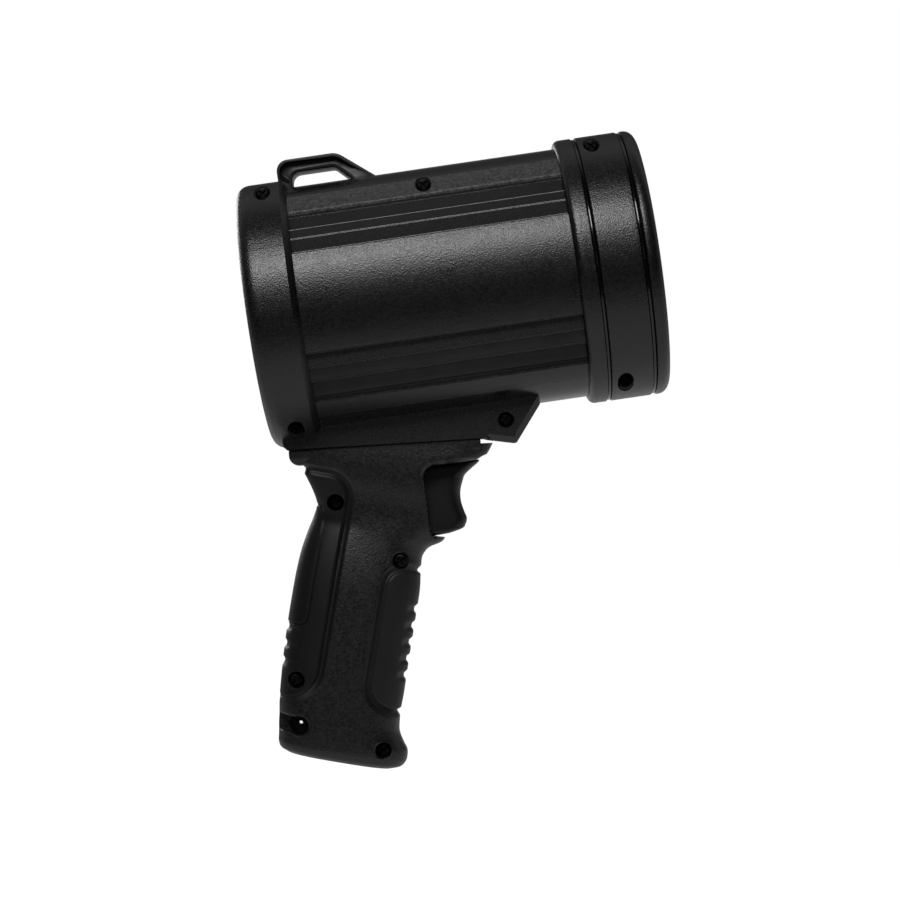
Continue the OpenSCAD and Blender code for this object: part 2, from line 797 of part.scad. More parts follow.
module rear_overlay() color("#141414") difference() {
    at_grip() pad(overlay_outline(0), overlay_low, overlay_high);
    at_grip() {
        across_grip(palm_outline(palm_gap));
        for (g = grip_points) across(pocket_r + fit, g[0], g[1], -grip_w, 0);
        for (i = [0:rear_ribs - 1])
            across(rib_cut_r, grip_low(rear_rib_z) - rib_cut_r + rib_d, rear_rib_z + i * rib_pitch,
                -grip_w, grip_w);
    }
}

module palm_pad() color("#131313") at_grip() pad(palm_outline(0), palm_low, palm_high);

module front_pad() color("#131313") at_grip() difference() {
    pad(front_outline(0), front_pad_low, front_pad_high);
    for (i = [0:front_ribs - 1])
        across(rib_cut_r, grip_high(front_rib_z) + rib_cut_r - rib_d, front_rib_z + i * rib_pitch,
            -grip_w, grip_w);
}

// Trigger: rings of a round-nosed section, from the foot up to the hook
trigger_half = trigger_w / 2;
trigger_top = opening_top - trigger_fit;
trigger_low = trigger_top - trigger_h;
// Stations as shares: of the height, of the reach out of the opening, of the half width
trigger_stations = [
    [0, 0.32, 0.82], [0.03, 0.5, 0.93], [0.1, 0.61, 0.99], [0.16, 0.64, 1], [0.3, 0.61, 1],
    [0.43, 0.585, 1], [0.585, 0.6, 1], [0.72, 0.66, 1], [0.815, 0.725, 1], [0.89, 0.85, 1],
    [0.95, 0.96, 0.99], [0.98, 1, 0.96], [1, 0.99, 0.87]];
nose_steps = 12;
nose_deep = 6;

function trigger_ring(s) =
    let (z = trigger_low + s[0] * trigger_h, front = opening_x + s[1] * trigger_reach)
    let (w = s[2] * trigger_half)
    concat(
        [for (i = [0:nose_steps]) let (t = (i / nose_steps - 0.5) * 180)
            [front - nose_deep + nose_deep * bulge(cos(t)), w * bulge(sin(t)), z]],
        [[tail_x, w, z], [tail_x, -w, z]]);

module trigger() color("#171717") at_head() {
    loft([for (s = trigger_stations) trigger_ring(s)]);
    translate([0, 0, spring_z]) disc(spring_r - wire_r - 0.4, tail_x - spigot_len, spigot_len + 1);
}

// A tube of one radius along a route, with a flat end at each of its ends
function heading(route, i) =
    let (d = route[min(i + 1, len(route) - 1)] - route[max(i - 1, 0)]) d / norm(d);
function tube_ring(route, i, r, sides, up) =
    let (t = heading(route, i), s = cross(t, up) / norm(cross(t, up)), v = cross(s, t))
    [for (k = [0:sides - 1]) route[i] + r * (cos(360 * k / sides) * s + sin(360 * k / sides) * v)];
module tube(route, r, sides, up) loft([for (i = [0:len(route) - 1]) tube_ring(route, i, r, sides, up)]);

module trigger_spring() color("#b9bcc0") at_head() {
    run = spring_len - 2 * wire_r - 2 * fit;
    steps = spring_turns * 12;
    route = [for (i = [0:steps]) [
        spring_seat_x + wire_r + fit + run * i / steps,
        spring_r * cos(360 * i / 12), spring_z + spring_r * sin(360 * i / 12)]];
    tube(route, wire_r, 6, [1, 0, 0]);
}

module switch_body() color("#5b2d22") at_head() {
    difference() {
        translate([switch_face_x - switch_len, -switch_half, switch_z - switch_h / 2])
            cube([switch_len, 2 * switch_half, switch_h]);
        translate([0, 0, switch_z])
            disc(plunger_r + slide, switch_face_x - plunger_bore, plunger_bore + past);
    }
}

module switch_plunger() color("#8a2a20") at_head() translate([0, 0, switch_z])
    disc(plunger_r, switch_face_x - plunger_seat, plunger_len + plunger_seat);

// Leads from the switch, up through the saddle, along the barrel's floor and up to the lamp holder
lead_y = 3.5;
floor_z = wall + 3 - barrel_r;
lead_end_x = holder_x + 6;
lead_route = [
    [-2, 4, -87.4], [-2, 4.3, -86], [-0.6, 5.2, -84.9], [2, 6.4, -84.6], [6, 7.4, -84.5],
    [9.4, 7.5, -83.8], [11, 7.5, -81.5], [11.2, 7.2, -76], [10.8, 5.6, -72.4], [8.6, 4.2, -69.4],
    [5.4, lead_y, -67], [3.4, lead_y, -64], [2.6, lead_y, -60], [2.4, lead_y, floor_z - 10],
    [2.6, lead_y, floor_z - 3.9], [4, lead_y, floor_z - 1.4], [8, lead_y, floor_z - 0.2],
    [30, lead_y, floor_z],
    [lead_end_x - 11, lead_y, floor_z + 0.4], [lead_end_x - 5, lead_y, floor_z + 2.2],
    [lead_end_x - 1.6, lead_y, floor_z + 6.7], [lead_end_x, lead_y, floor_z + 15.7],
    [lead_end_x, lead_y, 0.2 - holder_r]];

module switch_leads() color("#8c1f1a") at_head() {
    for (side = [-1, 1])
        tube([for (p = lead_route) [p[0], side * p[1], p[2]]], lead_r, 8, [0, 1, 0]);
}

// A pan-head screw along -Z, with a cross recess in its head
module pan_screw(len) {
    difference() {
        union() {
            translate([0, 0, -len]) cylinder(r = screw_r, h = len + head_h / 2);
            rotate_extrude()
                polygon(rounded([[0, 0, 0], [head_r, 0, 0], [head_r, head_h, 1.2], [0, head_h, 0]]));
        }
        for (turn = [0, 90]) rotate(turn)
            translate([-0.7 * head_r, -0.4, head_h - 1]) cube([1.4 * head_r, 0.8, 2]);
    }
}

module case_screw(x, z, seat, reach)
    translate([x, -seat, z]) rotate([90, 0, 0]) rotate(45) pan_screw(seat + reach);

module housing_screws() color("#2a2a2b") at_head()
    for (s = head_screws) case_screw(s[0], s[1], s[2], head_screw_reach);

module grip_screws() color("#2a2a2b") at_grip()
    for (g = grip_points) case_screw(g[0], g[1], g[2], grip_screw_reach);

module saddle_screws() color("#8f9294") at_head() saddle_screw_places() pan_screw(saddle_screw_len);

right_housing();
left_housing();
carry_loop();
rear_cover();
rear_gasket();
front_lens();
lens_gasket();
bead_seal();
lip_seal();
reflector();
lamp_bulb();
lamp_holder();
battery_cells();
battery_rear_plate();
battery_front_plate();
terminal_strips();
right_grip();
left_grip();
rear_overlay();
palm_pad();
front_pad();
trigger();
trigger_spring();
switch_body();
switch_plunger();
switch_leads();
housing_screws();
grip_screws();
saddle_screws();
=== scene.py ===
# %% [markdown]
# # A handheld searchlight, dressed over its CAD solids
# The CAD model holds every solid of the lamp in one frame: X runs along the beam, Z is up, and the origin is
# in the middle of the hand grip. This lesson gives each solid a finish. Where the solid is plain or faceted
# and the real moulding is smooth, a finer surface worked out with numpy takes its place.

# %% Load the frame
import bmesh
import bpy
import numpy as np
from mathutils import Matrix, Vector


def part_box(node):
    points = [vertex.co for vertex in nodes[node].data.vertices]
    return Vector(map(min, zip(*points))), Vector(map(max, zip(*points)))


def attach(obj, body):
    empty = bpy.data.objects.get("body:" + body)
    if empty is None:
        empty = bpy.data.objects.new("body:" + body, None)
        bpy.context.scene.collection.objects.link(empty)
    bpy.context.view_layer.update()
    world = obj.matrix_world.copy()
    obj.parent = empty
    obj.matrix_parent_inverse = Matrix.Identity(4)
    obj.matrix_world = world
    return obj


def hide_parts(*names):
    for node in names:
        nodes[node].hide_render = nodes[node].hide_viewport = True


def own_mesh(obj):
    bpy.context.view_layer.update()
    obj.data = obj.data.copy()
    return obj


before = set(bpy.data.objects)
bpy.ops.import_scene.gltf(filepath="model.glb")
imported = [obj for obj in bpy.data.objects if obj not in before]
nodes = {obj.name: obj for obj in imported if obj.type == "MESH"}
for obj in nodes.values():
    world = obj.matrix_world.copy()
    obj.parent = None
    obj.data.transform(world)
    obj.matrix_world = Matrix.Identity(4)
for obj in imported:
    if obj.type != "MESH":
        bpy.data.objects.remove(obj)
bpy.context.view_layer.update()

# %% [markdown]
# The camera looks square at the side of the lamp and is rolled by about 8 degrees, so the barrel climbs to
# the right in the picture. Its place comes from the perspective of the two end rings. A camera's matrix holds
# its right, up and backward directions as columns.

# %% Camera
MM = 0.001
ROLL = np.radians(8.3)
EYE = np.array([45.44, -960.0, 50.94]) * MM
LENS_MM = 96.0


def camera_matrix(eye, roll):
    """Columns: right = (cos, 0, -sin), up = (sin, 0, cos), back = -Y, and the eye as the place."""
    m = np.eye(4)
    m[:3, 0] = np.cos(roll), 0, -np.sin(roll)
    m[:3, 1] = np.sin(roll), 0, np.cos(roll)
    m[:3, 2] = 0, -1, 0
    m[:3, 3] = eye
    return m


scene = bpy.context.scene
lens = bpy.data.cameras.new("camera")
lens.lens = LENS_MM
lens.sensor_width = 36.0
camera = bpy.data.objects.new("camera", lens)
scene.collection.objects.link(camera)
camera.matrix_world = camera_matrix(EYE, ROLL).T.tolist()
scene.camera = camera
scene.view_settings.view_transform = "Standard"
print(f"camera at {EYE.round(3)} m, lens {LENS_MM} mm")

# %% [markdown]
# Materials are node trees. A few small helpers keep them short: one turns an sRGB hex colour into the linear
# numbers that a shader works with, the others add a node with its settings and links.

# %% Material helpers


def linear(code):
    """sRGB hex to linear RGBA: c / 12.92 below 0.04045, else ((c + 0.055) / 1.055) ** 2.4."""
    c = np.array([int(code[i:i + 2], 16) for i in (1, 3, 5)]) / 255
    rgb = np.where(c <= 0.04045, c / 12.92, ((c + 0.055) / 1.055) ** 2.4)
    return (*rgb.tolist(), 1.0)


def add(tree, kind, settings=(), **sockets):
    """Adds a node of a kind, whose name lacks Blender's ShaderNode. settings are its own properties. A socket
    is named, or numbered as _0, and gets a value or a link. A node stands for its own first output."""
    node = tree.nodes.new("ShaderNode" + kind)
    for key, value in dict(settings).items():
        setattr(node, key, value)
    for key, value in sockets.items():
        place = node.inputs[int(key[1:]) if key[0] == "_" else key.replace("_", " ")]
        value = value.outputs[0] if isinstance(value, bpy.types.Node) else value
        if isinstance(value, bpy.types.NodeSocket):
            tree.links.new(value, place)
        else:
            place.default_value = value
    return node


def maths(tree, operation, *values):
    """Adds one operation on two or three values or links."""
    return add(tree, "Math", {"operation": operation}, **{f"_{k}": v for k, v in enumerate(values)})


def blend(tree, share, first, second, **settings):
    """Adds a mix of two colours by a share from 0 to 1, and gives its colour."""
    return add(tree, "Mix", {"data_type": "RGBA", **settings}, _0=share, _6=first, _7=second).outputs[2]


def new_material(name):
    """An empty node material, its tree and the piece's own coordinates, in metres."""
    material = bpy.data.materials.new(name)
    material.use_nodes = True
    tree = material.node_tree
    tree.nodes.clear()
    return material, tree, add(tree, "TexCoord").outputs["Object"]


def per_metre(size_mm):
    """A texture's scale for marks of a real size: how many of them fit in a metre."""
    return 1000.0 / size_mm


print(f"mid grey #808080 is {linear('#808080')[0]:.3f} in linear light")

# %% [markdown]
# The case is black ABS from a spark-eroded mould: thousands of tiny pits and bumps, which sparkle where the
# light grazes them. The mould maker polishes some faces, so the amount of texture is not the same all over.
# Each piece carries that amount as an attribute named grain, and the bump's strength follows it. A second
# attribute, dull, says where the mould was left matt; it also carries painted light, a grey on the upper
# band, and painted shade, a darker tone in the grip's valleys. A Voronoi pattern gives the separate crystals,
# a finer noise breaks them up, and the crystals paint specks of light and dark into the colour for their
# sparkle.

# %% Moulded plastics


def moulded_plastic(name, dull, grained, grain_mm, depth_mm, level=0.5, polish=None, least=0.5):
    """Moulded plastic with a dull and a grained finish, each a colour and a roughness. The dull attribute
    mixes them, the grain attribute raises crystals of grain_mm and paints specks of light and dark into the
    colour, which stand for the crystals' sparkle. Where neither is set, the roughness is polish. A CAD solid
    has no attribute, so it gets the least grain. A slow cloud makes the gloss uneven."""
    material, tree, place = new_material(name)
    amount, share = (add(tree, "Attribute", {"attribute_name": key}).outputs["Fac"]
                     for key in ("grain", "dull"))
    amount = maths(tree, "MAXIMUM", amount, least)
    crystal = add(tree, "TexVoronoi", {"feature": "SMOOTH_F1"}, Vector=place, Scale=per_metre(grain_mm),
                  Smoothness=0.5)
    fine = add(tree, "TexNoise", Vector=place, Scale=per_metre(0.7 * grain_mm), Detail=2.0)
    height = maths(tree, "MULTIPLY_ADD", crystal, 1.2, fine)
    bump = add(tree, "Bump", Strength=amount, Distance=depth_mm * MM, Height=height)
    cloud = add(tree, "TexNoise", Vector=place, Scale=per_metre(9.0), Detail=3.0)
    facet = add(tree, "TexVoronoi", Vector=place, Scale=per_metre(1.3 * grain_mm)).outputs["Color"]
    facet = maths(tree, "MULTIPLY", facet, amount)
    bright = add(tree, "MapRange", {"clamp": False}, Value=amount,
                 To_Min=(polish or grained[1]) - 0.05, To_Max=grained[1] - 0.05)
    even = add(tree, "MapRange", Value=share, To_Min=bright, To_Max=dull[1] - 0.05)
    gloss = maths(tree, "MULTIPLY_ADD", cloud, 0.1, even)
    gloss = maths(tree, "MULTIPLY_ADD", facet, 0.1, gloss)
    tint = blend(tree, share, linear(grained[0]), linear(dull[0]))
    # Painted sparkle: each crystal's random tone makes the colour lighter or darker, standing for glints of
    # light
    painted_sparkle = add(tree, "MapRange", Value=facet, To_Min=0.1, To_Max=1.9)
    strong = maths(tree, "MAXIMUM", amount, 0.2)
    colour_with_painted_sparkle = blend(tree, strong, tint, painted_sparkle, blend_type="MULTIPLY")
    skin = add(tree, "BsdfPrincipled", Base_Color=colour_with_painted_sparkle, Roughness=gloss, Normal=bump, IOR=1.5,
               Specular_IOR_Level=level)
    add(tree, "OutputMaterial", Surface=skin)
    return material


# ABS from a spark-eroded mould: near black with painted specks of light and dark for its sparkle where it is
# grained, a grey on the upper band that is painted light, and a mirror-like black on the polished steps.
# The real pits are about 0.2 mm wide; they are drawn coarser, so that they show as specks in the picture.
eroded_abs = moulded_plastic("spark_eroded_abs", ("#353536", 0.34), ("#0b0b0c", 0.27), 0.58, 0.058,
                             polish=0.16, least=0.0)
# ABS from a finely blasted mould: an even satin black
satin_abs = moulded_plastic("satin_moulded_abs", ("#0d0d0e", 0.42), ("#0c0c0d", 0.40), 0.50, 0.03, 0.35,
                            least=0.2)
# Glass-filled nylon of the grip: painted specks on the panels; plain in the valleys, whose darker colour is
# painted shade
grip_nylon = moulded_plastic("grained_grip_nylon", ("#080808", 0.50), ("#101011", 0.36), 0.80, 0.055,
                             least=0.0)
# Thermoplastic rubber of the pads: hardly any grain, in a darker and a paler colour
pad_rubber = moulded_plastic("moulded_soft_rubber", ("#050505", 0.52), ("#262626", 0.46), 0.50, 0.02, 0.27,
                             least=0.1)
# Polished seal rubber: wet-looking black rings
seal_rubber = moulded_plastic("polished_seal_rubber", ("#080808", 0.11), ("#0a0a0a", 0.13), 0.40, 0.003,
                              least=0.1)
# Grey ABS of the inner frame, never seen once the case is closed
frame_abs = moulded_plastic("grey_frame_abs", ("#3a3d40", 0.50), ("#45484b", 0.50), 0.40, 0.05)
# Phenolic switch body: a reddish brown, slightly mottled
phenolic = moulded_plastic("moulded_phenolic", ("#4c2419", 0.42), ("#6a3628", 0.45), 0.60, 0.04)
# PVC sheath of the leads: soft shine
lead_pvc = moulded_plastic("extruded_lead_pvc", ("#7d1714", 0.38), ("#8f1f1a", 0.40), 0.50, 0.02)
# Heat-shrunk sleeve of the cells: a green film with a soft shine
cell_sleeve = moulded_plastic("heat_shrunk_cell_sleeve", ("#1f5a3a", 0.32), ("#276b46", 0.36), 1.20, 0.03)
# Steatite of the lamp holder: pale, dry, speckled
steatite = moulded_plastic("fired_steatite", ("#cfc5b3", 0.62), ("#ded6c6", 0.66), 0.50, 0.06)
print(f"{len(bpy.data.materials)} materials so far")

# %% [markdown]
# Metals are one shader with a different colour and a different mark left by the tool. Blackened steel keeps a
# little sheen, zinc plating is paler and cloudy, brass strip shows its rolling lines, and the reflector is
# vacuum-coated aluminium with a faint orange peel.

# %% Metals


def worked_metal(name, colour, roughness, mark_mm, depth_mm, stretch):
    """Metal: a noise stretched along X by a share gives the tool's marks in the bump and in the gloss."""
    material, tree, place = new_material(name)
    drawn = add(tree, "Mapping", Vector=place, Scale=(stretch, 1.0, 1.0))
    marks = add(tree, "TexNoise", Vector=drawn, Scale=per_metre(mark_mm), Detail=3.0)
    bump = add(tree, "Bump", Strength=0.5, Distance=depth_mm * MM, Height=marks)
    gloss = add(tree, "MapRange", Value=marks, From_Min=0.3, From_Max=0.7,
                To_Min=0.8 * roughness, To_Max=1.2 * roughness)
    tint = blend(tree, marks, linear(colour[0]), linear(colour[1]))
    skin = add(tree, "BsdfPrincipled", Base_Color=tint, Metallic=1.0, Roughness=gloss, Normal=bump)
    add(tree, "OutputMaterial", Surface=skin)
    return material


black_steel = worked_metal("black_oxide_steel", ("#18181a", "#242426"), 0.46, 0.5, 0.02, 1.0)
zinc_steel = worked_metal("zinc_plated_steel", ("#a9acb0", "#bcbfc4"), 0.34, 1.5, 0.02, 1.0)
spring_steel = worked_metal("drawn_spring_steel", ("#9fa2a6", "#b4b7bb"), 0.28, 0.4, 0.01, 0.15)
rolled_brass = worked_metal("rolled_brass", ("#a9843f", "#c09a52"), 0.32, 0.5, 0.02, 0.1)
mirror_coat = worked_metal("vacuum_coated_aluminium", ("#dcdfe2", "#e6e8ea"), 0.06, 6.0, 0.01, 1.0)
print(f"{len(bpy.data.materials)} materials with the metals")

# %% [markdown]
# Glass is a transmitting Principled shader. The front lens has a faint waviness from pressing and the bulb is
# clear quartz; both take their colour from what lies behind them.

# %% Glass


def clear_glass(name, colour, wave_mm, depth_mm, index):
    """Clear glass: full transmission, a slow noise as the waviness of its surface."""
    material, tree, place = new_material(name)
    wave = add(tree, "TexNoise", Vector=place, Scale=per_metre(wave_mm), Detail=1.0)
    bump = add(tree, "Bump", Strength=0.3, Distance=depth_mm * MM, Height=wave)
    gloss = add(tree, "MapRange", Value=wave, To_Min=0.01, To_Max=0.05)
    skin = add(tree, "BsdfPrincipled", Base_Color=linear(colour), Roughness=gloss, Normal=bump, IOR=index,
               Transmission_Weight=1.0)
    add(tree, "OutputMaterial", Surface=skin)
    return material


lens_glass = clear_glass("pressed_lens_glass", "#f4f8f7", 14.0, 0.02, 1.52)
bulb_glass = clear_glass("blown_quartz_glass", "#fbfbfa", 5.0, 0.01, 1.46)
print(f"{len(bpy.data.materials)} materials with the glass")

# %% [markdown]
# Every CAD solid that stays in view or inside the case takes one of these finishes, by its place in the
# assembly.

# %% Finishes of the CAD solids
FINISHES = {
    "right_housing": eroded_abs, "left_housing": eroded_abs, "carry_loop": satin_abs, "rear_cover": satin_abs,
    "rear_gasket": pad_rubber, "front_lens": lens_glass, "lens_gasket": pad_rubber, "bead_seal": seal_rubber,
    "lip_seal": seal_rubber, "reflector": mirror_coat, "lamp_bulb": bulb_glass, "lamp_holder": steatite,
    "battery_cells": cell_sleeve, "battery_rear_plate": frame_abs, "battery_front_plate": frame_abs,
    "terminal_strips": rolled_brass, "right_grip": grip_nylon, "left_grip": grip_nylon,
    "rear_overlay": pad_rubber, "palm_pad": pad_rubber, "front_pad": pad_rubber, "trigger": satin_abs,
    "trigger_spring": spring_steel, "switch_body": phenolic, "switch_plunger": phenolic,
    "switch_leads": lead_pvc, "housing_screws": black_steel, "grip_screws": black_steel,
    "saddle_screws": zinc_steel,
}
for name, solid in nodes.items():
    solid.data.materials.clear()
    solid.data.materials.append(FINISHES[name])
print(f"{len(FINISHES)} solids finished")

# %% [markdown]
# The finer surfaces are grids of points. These helpers number the cells of a grid, round the corners of a
# profile and add points to it. All sizes are in millimetres until a piece is built.

# %% Surface helpers


def grid_cells(rows, cols, closed_rows=False, closed_cols=False):
    """The four corner numbers of every cell of a grid whose points are numbered row by row."""
    i, j = np.meshgrid(np.arange(rows if closed_rows else rows - 1),
                       np.arange(cols if closed_cols else cols - 1), indexing="ij")
    below, right = (i + 1) % rows * cols, (j + 1) % cols
    return np.stack([i * cols + j, i * cols + right, below + right, below + j], -1).reshape(-1, 4)


def wrapped(skin):
    """The points of a grid, and its cells with the last column joined to the first."""
    return skin.reshape(-1, 3), grid_cells(*skin.shape[:2], closed_cols=True)


def lengths(v):
    """The length of each vector, kept as a column."""
    return np.linalg.norm(v, axis=-1, keepdims=True)


def rounded_line(points, radii, steps=4):
    """Each inner corner becomes an arc: its centre lies on the corner's bisector at radius / sin(half angle),
    and its points turn evenly from one side's touching point to the other's."""
    p, r = np.array(points, float), np.array(radii, float)[1:-1, None]
    a, b, c = p[:-2], p[1:-1], p[2:]
    u, v = (a - b) / lengths(a - b), (c - b) / lengths(c - b)
    angle = np.arccos(np.clip((u * v).sum(1, keepdims=True), -1, 1))
    middle = (u + v) / (lengths(u + v) + 1e-12)
    centre = b + middle * r / np.sin(angle / 2)
    start, end = (b + side * r / np.tan(angle / 2) - centre for side in (u, v))
    t, turn = np.linspace(0, 1, steps + 1)[:, None, None], np.pi - angle + 1e-9
    arc = centre + (start * np.sin(turn * (1 - t)) + end * np.sin(turn * t)) / np.sin(turn)
    line = np.concatenate([p[:1], arc.transpose(1, 0, 2).reshape(-1, p.shape[1]), p[-1:]])
    return line[np.r_[True, lengths(np.diff(line, axis=0))[:, 0] > 1e-4]]


def denser(line, gap):
    """The same line with more points, so that none lie further apart than a gap."""
    along = np.r_[0, np.cumsum(lengths(np.diff(line, axis=0)))]
    marks = np.union1d(along, np.arange(0, along[-1], gap))
    marks = marks[np.r_[True, np.diff(marks) > 0.05 * gap]]
    return np.stack([np.interp(marks, along, column) for column in line.T], -1)


def held(line, gap):
    """The same line with a point close to both ends of each long stretch, which smooth shading then keeps
    flat."""
    step = np.diff(line, axis=0)
    size = lengths(step)
    long = np.flatnonzero(size[:, 0] > 3 * gap)
    inset = step[long] / size[long] * gap
    pairs = np.stack([line[long] + inset, line[long + 1] - inset], 1).reshape(-1, 2)
    return np.insert(line, np.repeat(long + 1, 2), pairs, axis=0)


print(f"a grid of 3 x 3 points has {len(grid_cells(3, 3))} cells")

# %% [markdown]
# A piece is made from points and cells in one go. numpy merges the points that fall together, foreach_set
# writes whole arrays into the mesh, and bmesh closes open rims and turns the faces outwards. The same
# function puts the piece on its CAD body, hides the CAD node that it takes the place of, and gives it its
# finish.

# %% Build a piece


def build(name, points, cells, node, slot, material, body="case", grain=0.15, dull=None, sharp=32.0,
          flat_fill=False):
    """Merges points closer than a micrometre, drops cells that have shrunk to a line, closes open rims with
    flat faces, turns the faces outwards and puts the piece on its CAD body. Points come in millimetres. A
    point is as dull as it lacks grain, unless dull says otherwise."""
    grain = np.broadcast_to(grain, len(points))
    dull = 1 - np.minimum(grain, 1) if dull is None else dull
    _, first, number = np.unique(np.round(points / 0.001).astype(np.int64), axis=0,
                                 return_index=True, return_inverse=True)
    cells = number.reshape(-1)[cells]
    same = cells == np.roll(cells, -1, axis=1)
    once = same.sum(1) == 1
    four, three = cells[~same.any(1)], cells[once][~same[once]].reshape(-1, 3)
    corners = np.concatenate([four.ravel(), three.ravel()])
    starts = np.r_[np.arange(len(four)) * 4, len(four) * 4 + np.arange(len(three)) * 3]
    used, corners = np.unique(corners, return_inverse=True)
    place = points[first][used] * MM
    mesh = bpy.data.meshes.new(name)
    mesh.vertices.add(len(place))
    mesh.vertices.foreach_set("co", place.ravel())
    mesh.loops.add(len(corners))
    mesh.loops.foreach_set("vertex_index", corners.reshape(-1).astype(np.int32))
    mesh.polygons.add(len(starts))
    mesh.polygons.foreach_set("loop_start", starts.astype(np.int32))
    mesh.polygons.foreach_set("use_smooth", np.ones(len(starts), bool))
    mesh.update(calc_edges=True)
    for key, value in (("grain", grain), ("dull", dull)):
        column = value[first][used].astype(np.float32)
        mesh.attributes.new(key, "FLOAT", "POINT").data.foreach_set("value", column)
    shell = bmesh.new()
    shell.from_mesh(mesh)
    rims = [edge for edge in shell.edges if edge.is_boundary]
    if flat_fill:
        bmesh.ops.triangle_fill(shell, use_beauty=True, edges=rims)
    else:
        bmesh.ops.holes_fill(shell, edges=rims, sides=0)
    bmesh.ops.recalc_face_normals(shell, faces=shell.faces)
    open_rims = sum(edge.is_boundary for edge in shell.edges)
    shell.to_mesh(mesh)
    shell.free()
    mesh.set_sharp_from_angle(angle=np.radians(sharp))
    piece = bpy.data.objects.new(name, mesh)
    scene.collection.objects.link(piece)
    mesh.materials.append(material)
    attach(piece, body)
    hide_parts(node)
    print(f"{name}: {len(mesh.vertices)} points, {len(mesh.polygons)} faces, {open_rims} open edges")
    return piece


# %% [markdown]
# Screw pockets and the trigger's notch are cut straight through a grid. Cells wholly inside the outline go.
# The corners just inside it are moved out onto it, so that the rim is clean, and new cells line the cut.

# %% Cutting helpers


def cut_away(points, cells, inside, onto):
    """Removes the cells whose four corners are all inside, and moves the other inside corners with onto().
    Returns the points, the cells that stay and the rim's edges, which only one of those cells touches."""
    stay = cells[~inside[cells].all(1)]
    rim = np.zeros(len(points), bool)
    rim[stay] = True
    rim &= inside
    points = points.copy()
    points[rim] = onto(points[rim])
    edges = np.stack([stay, np.roll(stay, -1, axis=1)], -1).reshape(-1, 2)
    edges = edges[rim[edges].all(1)]
    _, first, count = np.unique(np.sort(edges, axis=1), axis=0, return_index=True, return_counts=True)
    return points, stay, edges[first[count == 1]]


def lining(points, edges, rings):
    """Cells from a rim inwards through rings of new points: each ring holds a place for every rim point."""
    ids, local = np.unique(edges, return_inverse=True)
    local, added = local.reshape(-1, 2), rings(points[ids])
    levels = [ids[local]] + [len(points) + k * len(ids) + local for k in range(len(added))]
    cells = np.concatenate([np.stack([a[:, 1], a[:, 0], b[:, 0], b[:, 1]], -1)
                            for a, b in zip(levels[:-1], levels[1:])])
    return np.concatenate([points, *added]), cells


def screw_pocket(points, cells, centre, radius, seat, side, may_cut, round_about=None, hole=None):
    """A round pocket along Y, given by its centre [x, z] and the distance of its seat from the middle plane.
    On a turned body the rim keeps its distance from the axis at round_about. A hole leaves the seat open."""
    lip = 0.25
    middle = np.array(centre, float)
    away = lengths(points[:, [0, 2]] - middle)[:, 0]

    def ring(p, r, y):
        d = p[:, [0, 2]] - middle
        d *= r / np.maximum(lengths(d), 1e-6)
        return np.stack([middle[0] + d[:, 0], np.broadcast_to(y, len(p)), middle[1] + d[:, 1]], -1)

    def onto(p):
        moved = ring(p, radius + lip, p[:, 1])
        if round_about is not None:
            reach = np.hypot(p[:, 1], p[:, 2] - round_about)
            moved[:, 1] = side * np.sqrt(np.maximum(reach ** 2 - (moved[:, 2] - round_about) ** 2, 0))
        return moved

    def rings(p):
        walls = [ring(p, radius, p[:, 1] - side * lip), ring(p, radius, side * seat)]
        if hole is None:
            return walls + [ring(p, 1e-6, side * seat)]
        return walls + [ring(p, hole, side * seat), ring(p, hole, 0.0)]

    points, cells, edges = cut_away(points, cells, may_cut & (away < radius + lip), onto)
    points, lined = lining(points, edges, rings)
    return points, np.concatenate([cells, lined])


def padded_mask(mask, points):
    """The mask with a no for every point that was added after it was made."""
    return np.r_[mask, np.zeros(len(points) - len(mask), bool)]


# %% [markdown]
# The barrel is split along its middle plane into two halves. Half of its outline is worked out once: an arc
# at the side, three steps with level treads and upright risers, a narrow valley, a raised band and the spine.
# Small radii on the corners catch the light as thin bright lines, as on the real moulding.

# %% Barrel outline


def box_mm(node):
    """A CAD node's lowest and highest corners, in millimetres."""
    return np.array([list(corner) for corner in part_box(node)]) / MM


COLLAR_LEN, COLLAR_R = 20.4, 52.8
AXIS_Z = box_mm("front_lens")[:, 2].mean()
JOINT_X = box_mm("right_housing")[0, 0] + COLLAR_LEN
HEAD = np.array([JOINT_X, 0, AXIS_Z])
BARREL_R, BARREL_LEN = 49.7, 106.4
BAND_RISE, BAND_TOP, VALLEY_D, SPINE_Z = 0.5, 59.6, 1.5, 49.25
# Over and under the axis, in degrees: where the steps' corners lie; the valley's outer edge, its floor and
# the band's start. Then whether the top is flat, the rounding of the band, and its share of the grey dull
# colour, which is painted light: most on the upper band, none on the lower one
UPPER = {"steps": (23.5, 30.8, 36.2, 45.0), "valley": (43.8, 45.3, 45.0), "flat": True, "band": (1.5, 0.95)}
LOWER = {"steps": (22.3, 29.7, 36.6, 45.2), "valley": (45.2, 46.8, 48.7), "flat": False, "band": (0.3, 0.0)}


def polar(radius, degrees):
    """Points at a radius and an angle over the level, as [across, up]."""
    a = np.radians(np.atleast_1d(degrees))
    return np.stack([radius * np.cos(a), radius * np.sin(a)], -1)


